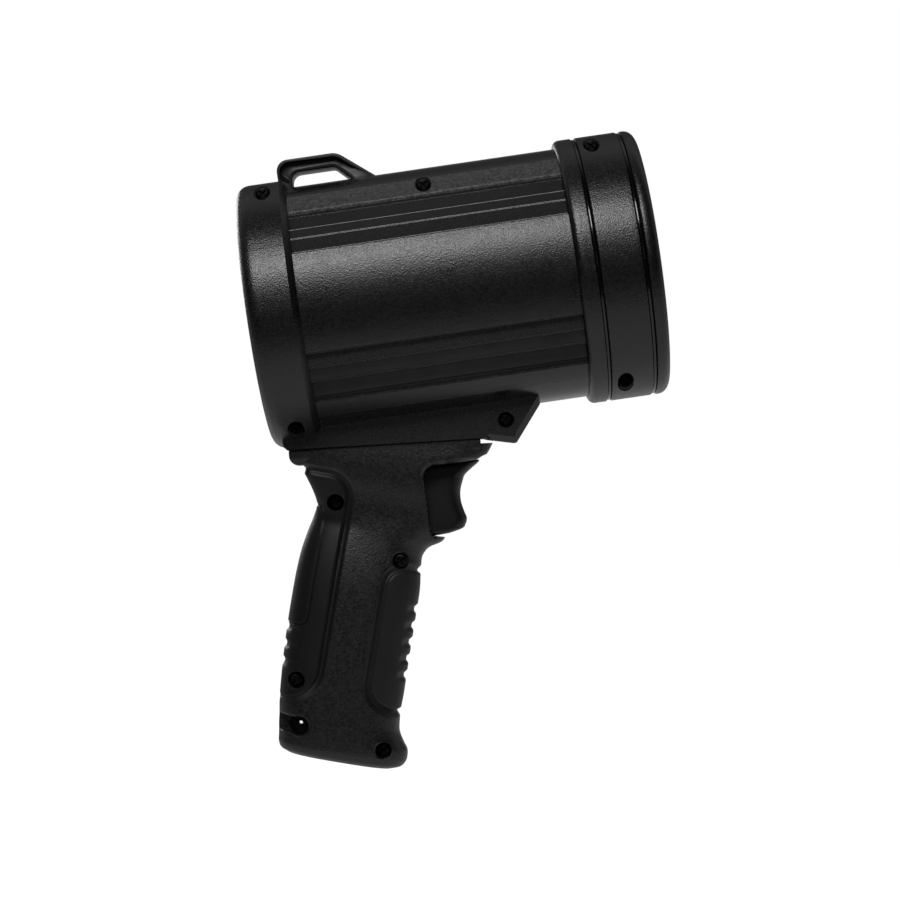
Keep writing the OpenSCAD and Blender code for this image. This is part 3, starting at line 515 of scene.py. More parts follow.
def barrel_quarter(steps, valley, flat, band):
    """From level with the axis to the split, as [across, up]: an arc, steps with level treads and upright
    risers, the valley, the band and the spine. The last riser ends where its upright meets the valley."""
    corners = polar(BARREL_R, steps)
    inner = np.stack([corners[1:, 0], corners[:-1, 1]], -1)
    stairs = np.stack([inner, corners[1:]], 1).reshape(-1, 2)
    stairs[-1, 1] = stairs[-1, 0] * np.tan(np.radians(valley[0]))
    band_r = BARREL_R + BAND_RISE
    # Each stretch of points with the radius of its corners
    parts = [
        (polar(BARREL_R, np.arange(0, steps[0] - 0.6, 1.2)), 0), (corners[:1], 0.5), (stairs[:-1], 0.4),
        (stairs[-1:], 0.03), (polar(BARREL_R - VALLEY_D, valley[1]), 0.15),
        (polar(band_r, valley[2]), band[0]),
        (polar(band_r, np.arange(valley[2] + 2.2, BAND_TOP - 0.6, 0.6)), 0), (polar(band_r, BAND_TOP), 0.3),
        (polar(BARREL_R, BAND_TOP + 0.2), 0.12),
        (polar(BARREL_R, np.r_[np.arange(BAND_TOP + 0.9, 72, 0.6), np.arange(72, 82, 1.2)]), 0)]
    top = np.array([[6.2, SPINE_Z], [3, SPINE_Z], [0.3, SPINE_Z], [0, SPINE_Z - 0.25]])
    parts.append((top, 0) if flat else (np.r_[polar(BARREL_R, [84, 87, 89.6]), [[0, BARREL_R - 0.25]]], 0))
    points = np.concatenate([p for p, _ in parts])
    line = held(rounded_line(points, np.concatenate([np.full(len(p), r) for p, r in parts]), 3), 0.15)
    high = np.degrees(np.arctan2(line[:, 1], line[:, 0]))
    # By angle: the side is grained, the steps are polished, the band is grained, the spine is nearly plain.
    #     The band's dull share is painted light, which draws the upper band grey.
    zones = [high < steps[0] - 0.1, high < steps[1] + 0.05, high < valley[2] - 0.3, high < BAND_TOP - 0.1]
    dull = np.select(zones, [0.0, 0.3, 0.15, band[1]], 0.0)
    return line, np.select(zones, [1.0, 0.5, 0.0, 1.0], 0.35), dull


upper, lower = barrel_quarter(**UPPER), barrel_quarter(**LOWER)
outline = np.concatenate([upper[0][::-1], lower[0][1:] * [1, -1]])
column_grain, column_dull = (np.concatenate([upper[k][::-1], lower[k][1:]]) for k in (1, 2))
angle = np.degrees(np.arctan2(outline[:, 1], outline[:, 0]))
reach = np.linalg.norm(outline, axis=1)
seam_dip = np.where(outline[:, 0] < 0.01, 0.25, 0.0)
print(f"{len(outline)} points round half the barrel")

# %% [markdown]
# Along the beam each half is one closed profile: from the rear lip over the collar, down to the barrel, up
# over the bead, across the two seal grooves and the front ring, round the lip, and back inside past the
# seats of the lens and the rear cover. Where the profile follows the barrel, its radius is the outline's;
# elsewhere it is a circle. The screw pockets are cut into the photographed half only.

# %% Barrel halves
SIDES = (-1, "right"), (1, "left")
FRONT = COLLAR_R
GROOVE_R = 50.9
# Rows lie close together where the screw pockets are cut
ROUND_POCKET = np.arange(-4.2, 4.3, 0.55)
REAR_CLOSE, FRONT_CLOSE = ([(x, COLLAR_R) for x in middle + ROUND_POCKET] for middle in (-9.2, 120.5))
REAR_PROFILE = rounded_line(
    [(-17.95, 41.4), (-20.4, 41.4), (-20.4, COLLAR_R), *REAR_CLOSE, (-2.3, COLLAR_R), (0, 49.9)],
    [0, 0.5, 5.2, *np.zeros(len(REAR_CLOSE)), 0.5, 0], 6)
FRONT_PROFILE = rounded_line(
    [(106.4, 49.9), (106.4, FRONT), (113.6, FRONT), (113.6, GROOVE_R), (115.2, GROOVE_R), (115.2, FRONT),
     *FRONT_CLOSE, (131.5, FRONT), (131.5, GROOVE_R), (133.1, GROOVE_R), (133.1, FRONT), (138.6, FRONT),
     (138.6, 45.4), (133.1, 41.4), (131.25, 41.4)],
    [0, 2.6, 0.35, 0.2, 0.2, 0.6, *np.zeros(len(FRONT_CLOSE)), 0.35, 0.2, 0.2, 0.9, 4.0, 0.6, 0.3, 0], 5)
INNER_PROFILE = np.array([(131.25, 45.15), (124.75, 45.15), (124.75, 42.4), (-13.85, 42.4), (-13.85, 45.35),
                          (-17.95, 45.35)])
BARREL_X = np.union1d(np.linspace(0, BARREL_LEN, 12), 53.4 + ROUND_POCKET)
POCKET_R = 3.2
# Each pocket's centre and the distance of its seat from the split
POCKETS = [((x, z), 20) for x in (-9.2, 120.5) for z in (46.6, -46.6)] + [((53.4, 40.4), 25)]


def barrel_half(side):
    """Rows run along the closed profile, columns round the outline. A point's radius is the profile's own,
    or the outline's where the row belongs to the barrel."""
    rear, front = denser(REAR_PROFILE, 2.0), denser(FRONT_PROFILE, 2.0)
    x = np.r_[rear[:, 0], BARREL_X, front[:, 0], INNER_PROFILE[:, 0]]
    circle = np.r_[rear[:, 1], np.zeros(len(BARREL_X)), front[:, 1], INNER_PROFILE[:, 1]]
    is_round = circle[:, None] > 0
    radius = np.where(is_round, circle[:, None] - seam_dip, reach)
    a = np.radians(angle)
    points = np.stack([x[:, None] + 0 * radius, side * radius * np.cos(a), radius * np.sin(a)], -1)
    grain, dull = np.where(is_round, 1.0, column_grain), np.where(is_round, 0.0, column_dull)
    outside = np.broadcast_to((np.arange(len(x)) < len(x) - len(INNER_PROFILE))[:, None], radius.shape)
    cells = grid_cells(*radius.shape, closed_rows=True)
    return points.reshape(-1, 3), cells, grain.reshape(-1), dull.reshape(-1), outside.reshape(-1)


for side, label in SIDES:
    points, cells, grain, dull, outside = barrel_half(side)
    count = len(points)
    for centre, seat in POCKETS if side < 0 else ():
        points, cells = screw_pocket(points, cells, centre, POCKET_R, seat, side,
                                     padded_mask(outside, points), round_about=0.0)
    extra = len(points) - count
    build(f"{label}_barrel", points + HEAD, cells, f"{label}_housing", "housing_plastic", eroded_abs,
          grain=np.r_[grain, np.zeros(extra)], dull=np.r_[dull, np.zeros(extra)])

# %% [markdown]
# Under the barrel a saddle carries the grip. Its side view is a single height over each X, so one section is
# carried along X: the middle, the flat underside, a chamfer that is wider along the nose, the upright side,
# and the way back inside the barrel.

# %% Saddle halves
FLANGE_TILT = np.radians(4.8)
SADDLE_HALF, SADDLE_TOP, JOINT_Z, UNDER_HALF = 17.0, -38.0, -55.4, 10.0
NOSE_X, NOSE_CHAMFER, PLAIN_CHAMFER = 63.5, 2.4, 0.4


def flange_line(x):
    """The height of the joint between saddle and flange at a place along the beam."""
    return JOINT_Z - x * np.tan(FLANGE_TILT)


SADDLE_LINE = rounded_line(
    [(-15.8, flange_line(-15.8) + 1.5), (-14.3, flange_line(-14.3)), (62.7, flange_line(62.7)), (64.3, -61.3),
     (75.1, -64.2), (86.6, -50.2), (87.1, -42.0)], [0, 1.0, 0.6, 1.5, 1.2, 1.5, 0], 5)


def saddle_half(side):
    """Columns: middle, underside, chamfer, side up to the barrel, and back to the middle plane."""
    x = np.union1d(SADDLE_LINE[:, 0], np.r_[np.linspace(-15.8, 66, 30), np.arange(66, 79, 0.6), 82, 84, 86])
    low = np.interp(x, SADDLE_LINE[:, 0], SADDLE_LINE[:, 1])
    slope = np.gradient(low, x)
    cut = np.where(x > NOSE_X, NOSE_CHAMFER, PLAIN_CHAMFER)
    rise = cut * np.sqrt(1 + np.minimum(np.abs(slope), 2.0) ** 2)
    foot = np.minimum(low + rise, SADDLE_TOP - 1)[:, None]
    height = foot + (SADDLE_TOP - foot) * np.linspace(0, 1, 44)
    middle = 0 * x[:, None]
    z = np.concatenate([np.repeat(low[:, None], 3, 1), height, middle + SADDLE_TOP], 1)
    y = np.concatenate([middle, middle + UNDER_HALF, (SADDLE_HALF - cut)[:, None], 0 * height + SADDLE_HALF,
                        middle], 1)
    points = np.stack([x[:, None] + 0 * z, side * y, z], -1)
    face = np.broadcast_to(np.arange(z.shape[1]) > 2, z.shape)
    return *wrapped(points), face.reshape(-1)


for side, label in SIDES:
    points, cells, face = saddle_half(side)
    if side < 0:
        points, cells = screw_pocket(points, cells, (72.3, -54.4), POCKET_R, 13, side, face)
    build(f"{label}_saddle", points + HEAD, cells, f"{label}_housing", "housing_plastic", eroded_abs,
          grain=0.5, dull=np.full(len(points), 0.35))

# %% [markdown]
# The grip's flange is a slab with a soft lower edge all round. It is worked out as a height under each point:
# the higher of the rounding along its ends and the rounding along its sides.

# %% Flange halves
FLANGE_X, FLANGE_Z, FLANGE_T, FLANGE_HALF, FLANGE_EDGE = (-14.0, 61.5), -55.55, 6.0, 17.4, 4.0


def quarter_round(distance, radius):
    """How far a quarter-round edge draws back at a distance from its end: r - sqrt(r^2 - (r - d)^2)."""
    d = np.clip(radius - distance, 0, radius)
    return radius - np.sqrt(radius ** 2 - d ** 2)


def flange_half(side):
    """Columns run from the middle under the slab, round its edge and back along its top."""
    end = FLANGE_EDGE * (1 - np.cos(np.linspace(0, np.pi / 2, 9)))
    x = np.r_[FLANGE_X[0] + end, np.linspace(FLANGE_X[0] + 8, FLANGE_X[1] - 8, 12), (FLANGE_X[1] - end)[::-1]]
    y = np.r_[0, 7, FLANGE_HALF - end[::-1]]
    ends, sides = np.minimum(x - FLANGE_X[0], FLANGE_X[1] - x)[:, None], FLANGE_HALF - y
    low = -FLANGE_T + np.maximum(quarter_round(ends, FLANGE_EDGE), quarter_round(sides, FLANGE_EDGE))
    # A chamfer along the top edge makes the dark seam; a tongue behind it reaches into the saddle
    top = np.array([[FLANGE_HALF, -0.6], [FLANGE_HALF - 0.5, -0.1], [15.5, -0.1], [15.5, 0.5], [0, 0.5]])
    z = np.concatenate([low, np.broadcast_to(top[:, 1], (len(x), len(top)))], 1)
    y = np.r_[y, top[:, 0]]
    c, s = np.cos(FLANGE_TILT), np.sin(FLANGE_TILT)
    x = x[:, None]
    return wrapped(np.stack([x * c + z * s, side * y + 0 * z, z * c - x * s + FLANGE_Z], -1))


for side, label in SIDES:
    points, cells = flange_half(side)
    build(f"{label}_flange", points + HEAD, cells, f"{label}_grip", "grip_plastic", grip_nylon, grain=0.8)

# %% [markdown]
# The grip is a stack of flattened ovals. A table gives, at each height, how far the rear and the front are
# drawn in and how much of the half width is lost. A smooth cubic runs through the table, so the side view has
# no corners. The oval is a superellipse, whose power above two makes flat flanks and round edges.

# %% Grip form
RAKE = np.radians(17.8)
GRIP_FRONT, GRIP_HALF = 25.0, 17.5
STATIONS = np.array([
    [-66.5, 8.7, 0.8, 4.6], [-65.4, 6.0, 3.8, 2.6], [-63.4, 4.55, 5.6, 1.2], [-60.4, 4.0, 6.1, 0.6],
    [-58, 3.65, 5.5, 0.4], [-56.4, 3.35, 4.3, 0.3], [-52, 2.8, 1.6, 0.1], [-47, 2, 0.7, 0], [-36, 1, 0.6, 0],
    [-20, 0.2, 0.3, 0], [-5, 0, 0.2, 0.05], [6, 0.2, 0, 0.5], [14, 0.8, -0.9, 1.35], [20, 1.8, -0.8, 2.25],
    [23, 2.4, 1.2, 2.7], [25.5, 3, 5.2, 3.0], [28, 3.5, 8, 3.15], [33, 3.9, 9.4, 3.2], [36.5, 2.3, 10.2, 2.8],
    [40, 0.1, 11, 2.0], [44, -2.8, 12, 0.9], [48, -6, 13, 0.15], [68, -6, 19, 0.1]])


def ease(v, low, high):
    """A smooth step from 0 at low to 1 at high: 3 t^2 - 2 t^3."""
    t = np.clip((v - low) / (high - low), 0, 1)
    return t * t * (3 - 2 * t)


def through(z, known, values):
    """A cubic through the table: each span is blended from its two values and their slopes."""
    slope = np.gradient(values, known)
    k = np.clip(np.searchsorted(known, z) - 1, 0, len(known) - 2)
    span = known[k + 1] - known[k]
    t = np.clip((z - known[k]) / span, 0, 1)
    return ((2 * t ** 3 - 3 * t ** 2 + 1) * values[k] + (t ** 3 - 2 * t ** 2 + t) * span * slope[k]
            + (3 * t ** 2 - 2 * t ** 3) * values[k + 1] + (t ** 3 - t ** 2) * span * slope[k + 1])


def grip_edges(z):
    """The rear, the front and the half width of the grip at a height."""
    return (through(z, STATIONS[:, 0], STATIONS[:, 1]) - GRIP_FRONT,
            through(z, STATIONS[:, 0], STATIONS[:, 2]) + GRIP_FRONT,
            GRIP_HALF - through(z, STATIONS[:, 0], STATIONS[:, 3]))


def section_power(z):
    """The oval's power: 2.7 along the hand, rising to 9 at the flange, where the flanks turn flat."""
    return 2.7 + 6.3 * ease(z, 26, 46)


def grip_surface(t, z):
    """The grip's skin: a point at the angle t lies at (|cos t|^p + |sin t|^p)^(-1/p) times the half depth
    along x and times the half width along -y."""
    rear, front, half = grip_edges(z)
    p = section_power(z)
    r = (np.abs(np.cos(t)) ** p + np.abs(np.sin(t)) ** p) ** (-1 / p)
    return np.stack([(front + rear) / 2 + (front - rear) / 2 * r * np.cos(t), -half * r * np.sin(t), z], -1)


print(f"half the grip is {grip_edges(0.0)[2]:.1f} mm thick in the middle of the hand")

# %% [markdown]
# Three rubber pads lie in the grip. Each has an outline in the side view, written as a signed distance: the
# number is negative inside the pad, zero on its edge and positive outside. Valleys, seats and rolled edges
# are all worked out from that one number, and then moved along the skin's normals.

# %% Pad outlines
# Each pad's edge in the side view, its lowest and highest place, and the radii of its corners there
OUTLINES = {
    "rear_overlay": (-8.5, (-45.2, 45.2), (14.0, 9.0)), "palm_pad": (-16.8, (-15.5, 32.3), (4.0, 4.0)),
    "front_pad": (11.4, (-43.3, 13.0), (11.0, 7.0))}


def skin_normals(points):
    """Outward unit normals of a grid, from the cross product of its two directions."""
    n = np.cross(np.gradient(points, axis=0), np.gradient(points, axis=1))
    n /= lengths(n) + 1e-12
    middle = points.mean(1, keepdims=True) * [1, 0, 1]
    return n * np.sign((n * (points - middle)).sum(-1, keepdims=True) + 1e-9)


def soft_corner(distances, radius):
    """Signed distance to a shape bounded by lines, with its corners rounded: negative inside."""
    d = np.stack(distances, -1) + radius
    return np.minimum(d.max(-1), 0) + np.linalg.norm(np.maximum(d, 0), axis=-1) - radius


def pad_distance(name, x, z):
    """Signed distance to a pad, which lies outward of its edge, above its foot and under its top."""
    edge, (low, high), (foot, head) = OUTLINES[name]
    beside = (edge - x) * np.sign(edge)
    return np.maximum(soft_corner([beside, low - z], foot), soft_corner([beside, z - high], head))


def valley_share(x, z):
    """How deep the valley is: it nearly fades out under the foot of the rear overlay."""
    return 1 - 0.85 * ease(-z, 35, 46) * (x < 0)


def to_row(points):
    """From the raked grip's own axes to the model's: a turn about Y."""
    c, s = np.cos(RAKE), np.sin(RAKE)
    x, y, z = points[..., 0], points[..., 1], points[..., 2]
    return np.stack([x * c + z * s, y, z * c - x * s], -1)


print(f"grip from {STATIONS[0, 0]} to {STATIONS[-1, 0]} mm along its own axis")

# %% [markdown]
# Each grip half is the skin from the front split to the rear split. It sinks under the pads and dips in a
# soft valley along their edges. The notch for the trigger, the screw pockets and the lanyard's pocket with
# its channel are cut in, and a flat cap closes the half along the split.

# %% Grip halves
PAD_T, VALLEY_DROP = 1.6, 1.4
NOTCH_X, NOTCH_TOP, NOTCH_LOW, NOTCH_SLOPE, NOTCH_EDGE = 36.9, -68.35, -96.25, 13 / 60, 2.4
LANYARD, LANYARD_R, LANYARD_SEAT, CORD_R = (-13.0, -54.7), 4.0, 1.5, 0.7
CHANNEL_HALF, CHANNEL_Y, CHANNEL_LIP = 3.2, 4.5, 0.34
# Centre, seat, and the room that the overlay's own cup takes round the two screws under it
GRIP_POCKETS = [((-13.4, 34.5), 8, 0.9), ((15.6, 16.1), 11, 0), ((-17.0, -37.0), 10, 0.9),
                ((21.3, -58.8), 9, 0)]
# Above this height the rows of the shell lean, until the last one lies along the flange
LEAN_FROM, TOP_Z, TOP_X, TOP_SLOPE = 46.0, 53.9, -20.96, 0.231


def notch_distance(points):
    """Signed distance to the trigger's notch, in the head's axes: behind, above and below are its sides."""
    h = to_row(points) - HEAD
    x, z = h[:, 0], h[:, 2]
    foot = (NOTCH_LOW - (x - NOTCH_X) * NOTCH_SLOPE - z) / np.hypot(1, NOTCH_SLOPE)
    return np.maximum(soft_corner([NOTCH_X - x, z - NOTCH_TOP], 4.5), soft_corner([NOTCH_X - x, foot], 2.0))


def onto_notch(points):
    """Moves points to the notch's outline: three steps down the distance's slope, which keeps y."""
    for _ in range(3):
        d = notch_distance(points)
        step = 0.01
        slope = np.stack([(notch_distance(points + step * np.eye(3)[k]) - d) / step for k in (0, 2)], -1)
        size = np.maximum((slope ** 2).sum(-1), 1e-6)
        points = points - (d / size)[:, None] * np.stack([slope[:, 0], 0 * d, slope[:, 1]], -1)
    return points


def grip_half(side):
    """The skin of one half with its valleys, as a grid of heights by angles, and its grain, which falls to
    nothing in the valleys so that the darker dull colour paints shade there.
    """
    z = np.union1d(np.arange(-66.0, 56.0, 0.7), STATIONS[:4, 0])
    lips = np.array([1.0, 1.03, 1.06, 1.1, 1.16, 1.24, 1.0 + CHANNEL_LIP]) * CHANNEL_HALF
    z = z[np.abs(np.abs(z - LANYARD[1]) - 1.17 * CHANNEL_HALF) > 0.18 * CHANNEL_HALF]
    z = np.unique(np.round(np.r_[z, LANYARD[1] - lips, LANYARD[1] + lips], 3))
    t = np.linspace(0, np.pi, 150)
    zz = np.repeat(z[:, None], len(t), 1)
    skin = grip_surface(t[None, :], zz)
    top = TOP_Z + TOP_SLOPE * (skin[..., 0] - TOP_X) - LEAN_FROM
    zz = np.where(zz > LEAN_FROM, LEAN_FROM + (zz - LEAN_FROM) / (z[-1] - LEAN_FROM) * top, zz)
    skin = grip_surface(t[None, :], zz)
    x = skin[..., 0]
    d = np.minimum(pad_distance("rear_overlay", x, zz), pad_distance("front_pad", x, zz))
    depth = VALLEY_DROP * valley_share(x, zz) * (1 - ease(d, 0.2, 2.5)) + 0.5 * ease(-d, 0.15, 0.9)
    rim = notch_distance(skin.reshape(-1, 3)).reshape(d.shape)
    depth = np.maximum(depth, quarter_round(rim, NOTCH_EDGE))
    lip = quarter_round(np.abs(zz - LANYARD[1]) - CHANNEL_HALF, CHANNEL_LIP * CHANNEL_HALF)
    lip = np.where(x < LANYARD[0] - 2, lip, 0)
    skin = skin - depth[..., None] * skin_normals(skin)
    channel = (skin[..., 0] < LANYARD[0]) & (np.abs(zz - LANYARD[1]) < CHANNEL_HALF + 0.01)
    y = skin[..., 1]
    y = np.where(y < -CHANNEL_Y, np.minimum(y + lip, -CHANNEL_Y), y)
    skin[..., 1] = np.where(channel, np.maximum(y, -CHANNEL_Y), y)
    skin[..., 1] *= -side
    # Low grain near the pads' edges makes the valleys dull and darker: painted shade
    return skin, ease(d, 1.4, 2.6)


for side, label in SIDES:
    skin, grain = grip_half(side)
    rows, cols = skin.shape[:2]
    flat = skin * [1, 0, 1]
    closed = np.concatenate([flat[:1], skin, flat[-1:]])
    points, cells = closed.reshape(-1, 3), grid_cells(rows + 2, cols)
    grain = np.concatenate([grain[:1], grain, grain[-1:]]).reshape(-1)
    count = len(points)
    may_cut = np.repeat((np.arange(rows + 2) % (rows + 1) > 0), cols)
    points, cells, edges = cut_away(points, cells, notch_distance(points) < 0, onto_notch)
    points, lined = lining(points, edges, lambda p: [p * [1, 0, 1]])
    cells = np.concatenate([cells, lined])
    for centre, seat, spare in GRIP_POCKETS if side < 0 else ():
        points, cells = screw_pocket(points, cells, centre, POCKET_R + spare, seat - spare, side,
                                     padded_mask(may_cut, points))
    points, cells = screw_pocket(points, cells, LANYARD, LANYARD_R, LANYARD_SEAT, side,
                                 padded_mask(may_cut, points), hole=CORD_R)
    grain = np.r_[grain, np.ones(len(points) - count)]
    build(f"{label}_grip_shell", to_row(points), cells, f"{label}_grip", "grip_plastic", grip_nylon,
          grain=grain, flat_fill=True)

# %% [markdown]
# The pads lie in those seats, flush with the shell, and their edges roll down into the valleys. Each is a
# grid whose sides follow the pad's own outline: at every height the outline says at which angle of the oval
# the pad ends. An inner copy of the grid, one thickness deeper, closes it.

# %% Pads


def edge_angle(x, z):
    """The angle of the oval at which its side view reaches x."""
    rear, front, _ = grip_edges(z)
    v = np.clip((x - (front + rear) / 2) / ((front - rear) / 2), -1, 1)
    p = section_power(z)
    return np.arctan2((1 - np.abs(v) ** p) ** (1 / p), v)


def pad_heights(low, high, foot, head):
    """Heights that crowd together at both rounded ends."""
    turn = 1 - np.cos(np.linspace(0, np.pi / 2, 20))
    straight = np.arange(low + foot + 0.7, high - head - 0.4, 0.7)
    return np.r_[low + foot * turn, straight, (high - head * turn)[::-1]]


def corner_setback(z, low, high, foot, head):
    """How far the rounded corners draw the edge in at a height near either end."""
    return quarter_round(z - low, foot) + quarter_round(high - z, head)


def pad_piece(name, roll, drop, dent, pale, pockets=()):
    """A grid from one edge round the front, or round the rear where the edge is behind the middle, to the
    other edge. It sinks near its outline by a smooth step, roll wide and drop deep, and by its own dents. An
    inner grid lies one pad thickness under the skin. Each pocket is a cup with an inner and an outer wall.
    The pads are hardly grained; pale is the share of the paler of the rubber's two colours, and the front pad
    takes most of it."""
    edge_x, limits, corners = OUTLINES[name]
    z = pad_heights(*limits, *corners)
    inward = np.sign(edge_x)
    start = edge_angle(edge_x + inward * corner_setback(z, *limits, *corners), z)
    end = -start if inward > 0 else 2 * np.pi - start
    share = np.linspace(0, 1, 160)
    t = start[:, None] + (end - start)[:, None] * share
    zz = np.repeat(z[:, None], len(share), 1)
    skin = grip_surface(t, zz)
    x, normals = skin[..., 0], skin_normals(skin)
    depth = drop * valley_share(x, zz) * (1 - ease(-pad_distance(name, x, zz), 0, roll))
    depth = np.maximum(depth, dent(x, zz))
    outer = skin - depth[..., None] * normals
    inner = skin - np.maximum(PAD_T, depth + 0.4)[..., None] * normals
    rows, cols = zz.shape
    points = np.concatenate([outer, inner[:, ::-1]], 1).reshape(-1, 3)
    cells = grid_cells(rows, 2 * cols, closed_cols=True)
    on_outer = np.tile(np.arange(2 * cols) < cols, rows)
    right = points[:, 1] < 0
    for centre, seat in pockets:
        for mask, spare in ((right & on_outer, 0.15), (right & ~on_outer, 0.5)):
            points, cells = screw_pocket(points, cells, centre, POCKET_R + spare, seat + 0.15 - spare, -1,
                                         padded_mask(mask, points))
    return build(name + "_skin", to_row(points), cells, name, "pad_rubber", pad_rubber, grain=0.15,
                 dull=np.full(len(points), 1 - pale))


# %% [markdown]
# A wet hand needs something to hold on to, so the pads have grooves across them. A groove is a smooth dent,
# repeated at an even pitch, which runs out on the flanks. With these dents the three pads are built.

# %% Ribs, and the three pads
# The first groove's height, how many there are and their pitch
FINGER, HEEL = (-29.0, 5, 6.65), (-31.0, 3, 6.9)


def ribs(z, first, count, pitch, flat, half):
    """Finger grooves one pitch apart: 1 on a flat bottom, falling to 0 at half a groove's width."""
    dz = z - first - pitch * np.clip(np.round((z - first) / pitch), 0, count - 1)
    return 1 - ease(np.abs(dz), flat, half)


def finger_ribs(x, z):
    """Five deep grooves along the front, which run out on the flanks."""
    return 1.15 * ribs(z, *FINGER, 0.7, 2.3) * (1 - ease(grip_edges(z)[1] - x, 1.0, 4.6))


def heel_ribs(x, z):
    """Three grooves at the rear, each with a faint tail along the flank, and the seat of the palm pad."""
    back = x - grip_edges(z)[0]
    grooves = 0.85 * ribs(z, *HEEL, 0.7, 2.0) * (1 - ease(back, 0.6, 3.2))
    tails = 0.25 * ribs(z, *HEEL, 0.1, 0.9) * (1 - ease(back, 5, 11))
    seat = (PAD_T + 0.1) * (1 - ease(pad_distance("palm_pad", x, z), -0.3, 0.5))
    return np.maximum(np.maximum(grooves, tails), seat)


DEEP = VALLEY_DROP + 0.1
pad_piece("front_pad", 1.6, DEEP, finger_ribs, 0.8)
pad_piece("palm_pad", 0.7, 0.6, lambda x, z: 0 * x, 0.1)
pad_piece("rear_overlay", 1.6, DEEP, heel_ribs, 0.2, [pocket[:2] for pocket in GRIP_POCKETS if pocket[2]])

# %% [markdown]
# The trigger is a stack of sections too: a straight tail inside the grip and a round nose in front. A table
# of shares gives its reach and width from the foot to the top, and the same cubic smooths it.

# %% Trigger
TRIGGER = np.array([
    [0, 0.32, 0.82], [0.03, 0.5, 0.93], [0.1, 0.61, 0.99], [0.16, 0.64, 1], [0.3, 0.61, 1], [0.43, 0.585, 1],
    [0.585, 0.6, 1], [0.72, 0.66, 1], [0.815, 0.725, 1], [0.89, 0.85, 1], [0.95, 0.96, 0.99], [0.98, 1, 0.96],
    [1, 0.99, 0.87]])
TRIGGER_LOW, TRIGGER_H, TRIGGER_REACH, TRIGGER_HALF = -95.75, 27.35, 22.9, 9.0
TAIL_X, NOSE, NOSE_POWER = 22.3, 6.0, 0.75


def trigger_surface():
    """Rows by height; columns round the nose from one flank to the other, then back along the tail."""
    s = np.union1d(np.linspace(0, 1, 70), TRIGGER[:, 0])
    front = NOTCH_X + TRIGGER_REACH * through(s, TRIGGER[:, 0], TRIGGER[:, 1])
    half = TRIGGER_HALF * np.minimum(through(s, TRIGGER[:, 0], TRIGGER[:, 2]), 1)
    a = np.linspace(-np.pi / 2, np.pi / 2, 48)
    x = (front - NOSE)[:, None] + NOSE * np.cos(a) ** NOSE_POWER
    y = half[:, None] * np.sign(a) * np.abs(np.sin(a)) ** NOSE_POWER
    flank = np.linspace(0, 1, 14)[1:]
    back = x[:, -1:] + (TAIL_X - x[:, -1:]) * flank
    x = np.concatenate([x, back, back[:, ::-1]], 1)
    y = np.concatenate([y, half[:, None] + 0 * back, -half[:, None] + 0 * back], 1)
    z = np.repeat((TRIGGER_LOW + s * TRIGGER_H)[:, None], x.shape[1], 1)
    return np.stack([x, y, z], -1)


points, cells = wrapped(trigger_surface() + HEAD)
build("trigger_blade", points, cells, "trigger", "trigger_plastic", satin_abs, body="trigger", grain=0.3)

# %% [markdown]
# Behind the trigger sits a coil spring, which pushes it forward again. A wire carried along a helix gives the
# coils. When the trigger is pulled the real spring has nowhere to go and is squashed towards its seat; here
# it is built at rest.

# %% Return spring
SPRING_LEN, SPRING_R, WIRE_R, TURNS, SPRING_Z, SQUASHED = 14.0, 3.6, 0.5, 5, -81.9, 0.56


def spring_surface():
    """Rows follow the helix, columns go round the wire, in the plane of the helix's own outward direction and
    the one square to it and to the wire's run."""
    a = np.linspace(0, 2 * np.pi * TURNS, 32 * TURNS + 1)[:, None]
    start, run = TAIL_X - SPRING_LEN + WIRE_R + 0.15, SPRING_LEN - 2 * WIRE_R - 0.3
    out = np.concatenate([0 * a, np.cos(a), np.sin(a)], 1)
    middle = np.concatenate([start + run * a / a[-1], 0 * a, 0 * a + SPRING_Z], 1) + SPRING_R * out
    ahead = np.concatenate([0 * a + run / a[-1], -SPRING_R * np.sin(a), SPRING_R * np.cos(a)], 1)
    ahead /= lengths(ahead)
    b = np.linspace(0, 2 * np.pi, 12, endpoint=False)[None, :, None]
    return middle[:, None] + WIRE_R * (np.cos(b) * out[:, None] + np.sin(b) * np.cross(ahead, out)[:, None])


points, cells = wrapped(spring_surface() + HEAD)
spring = build("return_spring_coil", points, cells, "trigger_spring", "spring_steel", spring_steel)
seat = (HEAD + [TAIL_X - SPRING_LEN, 0, SPRING_Z]) * MM
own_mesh(spring)

# %% [markdown]
# The carry loop is a flat bar bent over the spine. Its cross-section is carried round the loop between an
# outer and an inner line. A groove runs along each flank and fades out at the feet.

# %% Carry loop
GROOVE_D = 2.5
OUTER_LINE = rounded_line([(-3.4, 46.0), (-3.4, 60.5), (21.2, 60.5), (38.0, 47.1)], [0, 4.6, 7.0, 0], 10)
INNER_LINE = rounded_line([(2.1, 46.0), (2.1, 54.95), (19.7, 54.95), (28.4, 46.5)], [0, 3.6, 3.0, 0], 10)
# Distance from the outer line, or from the inner one where the next number is 1, then y and the groove's
# share
LOOP_SECTION = np.array([
    [0, 0, 0, 0], [0, 0, 6.3, 0], [0.08, 0, 6.65, 0], [0.3, 0, 6.92, 0], [0.65, 0, 7, 0], [1.3, 0, 7, 0],
    [1.45, 0, 7, 0.15], [1.55, 0, 7, 0.95], [1.8, 0, 7, 1], [-1.8, 1, 7, 1], [-1.55, 1, 7, 0.95],
    [-1.45, 1, 7, 0.15], [-1.3, 1, 7, 0], [-0.65, 1, 7, 0], [-0.3, 1, 6.92, 0], [-0.08, 1, 6.65, 0],
    [0, 1, 6.3, 0], [0, 1, 0, 0]])


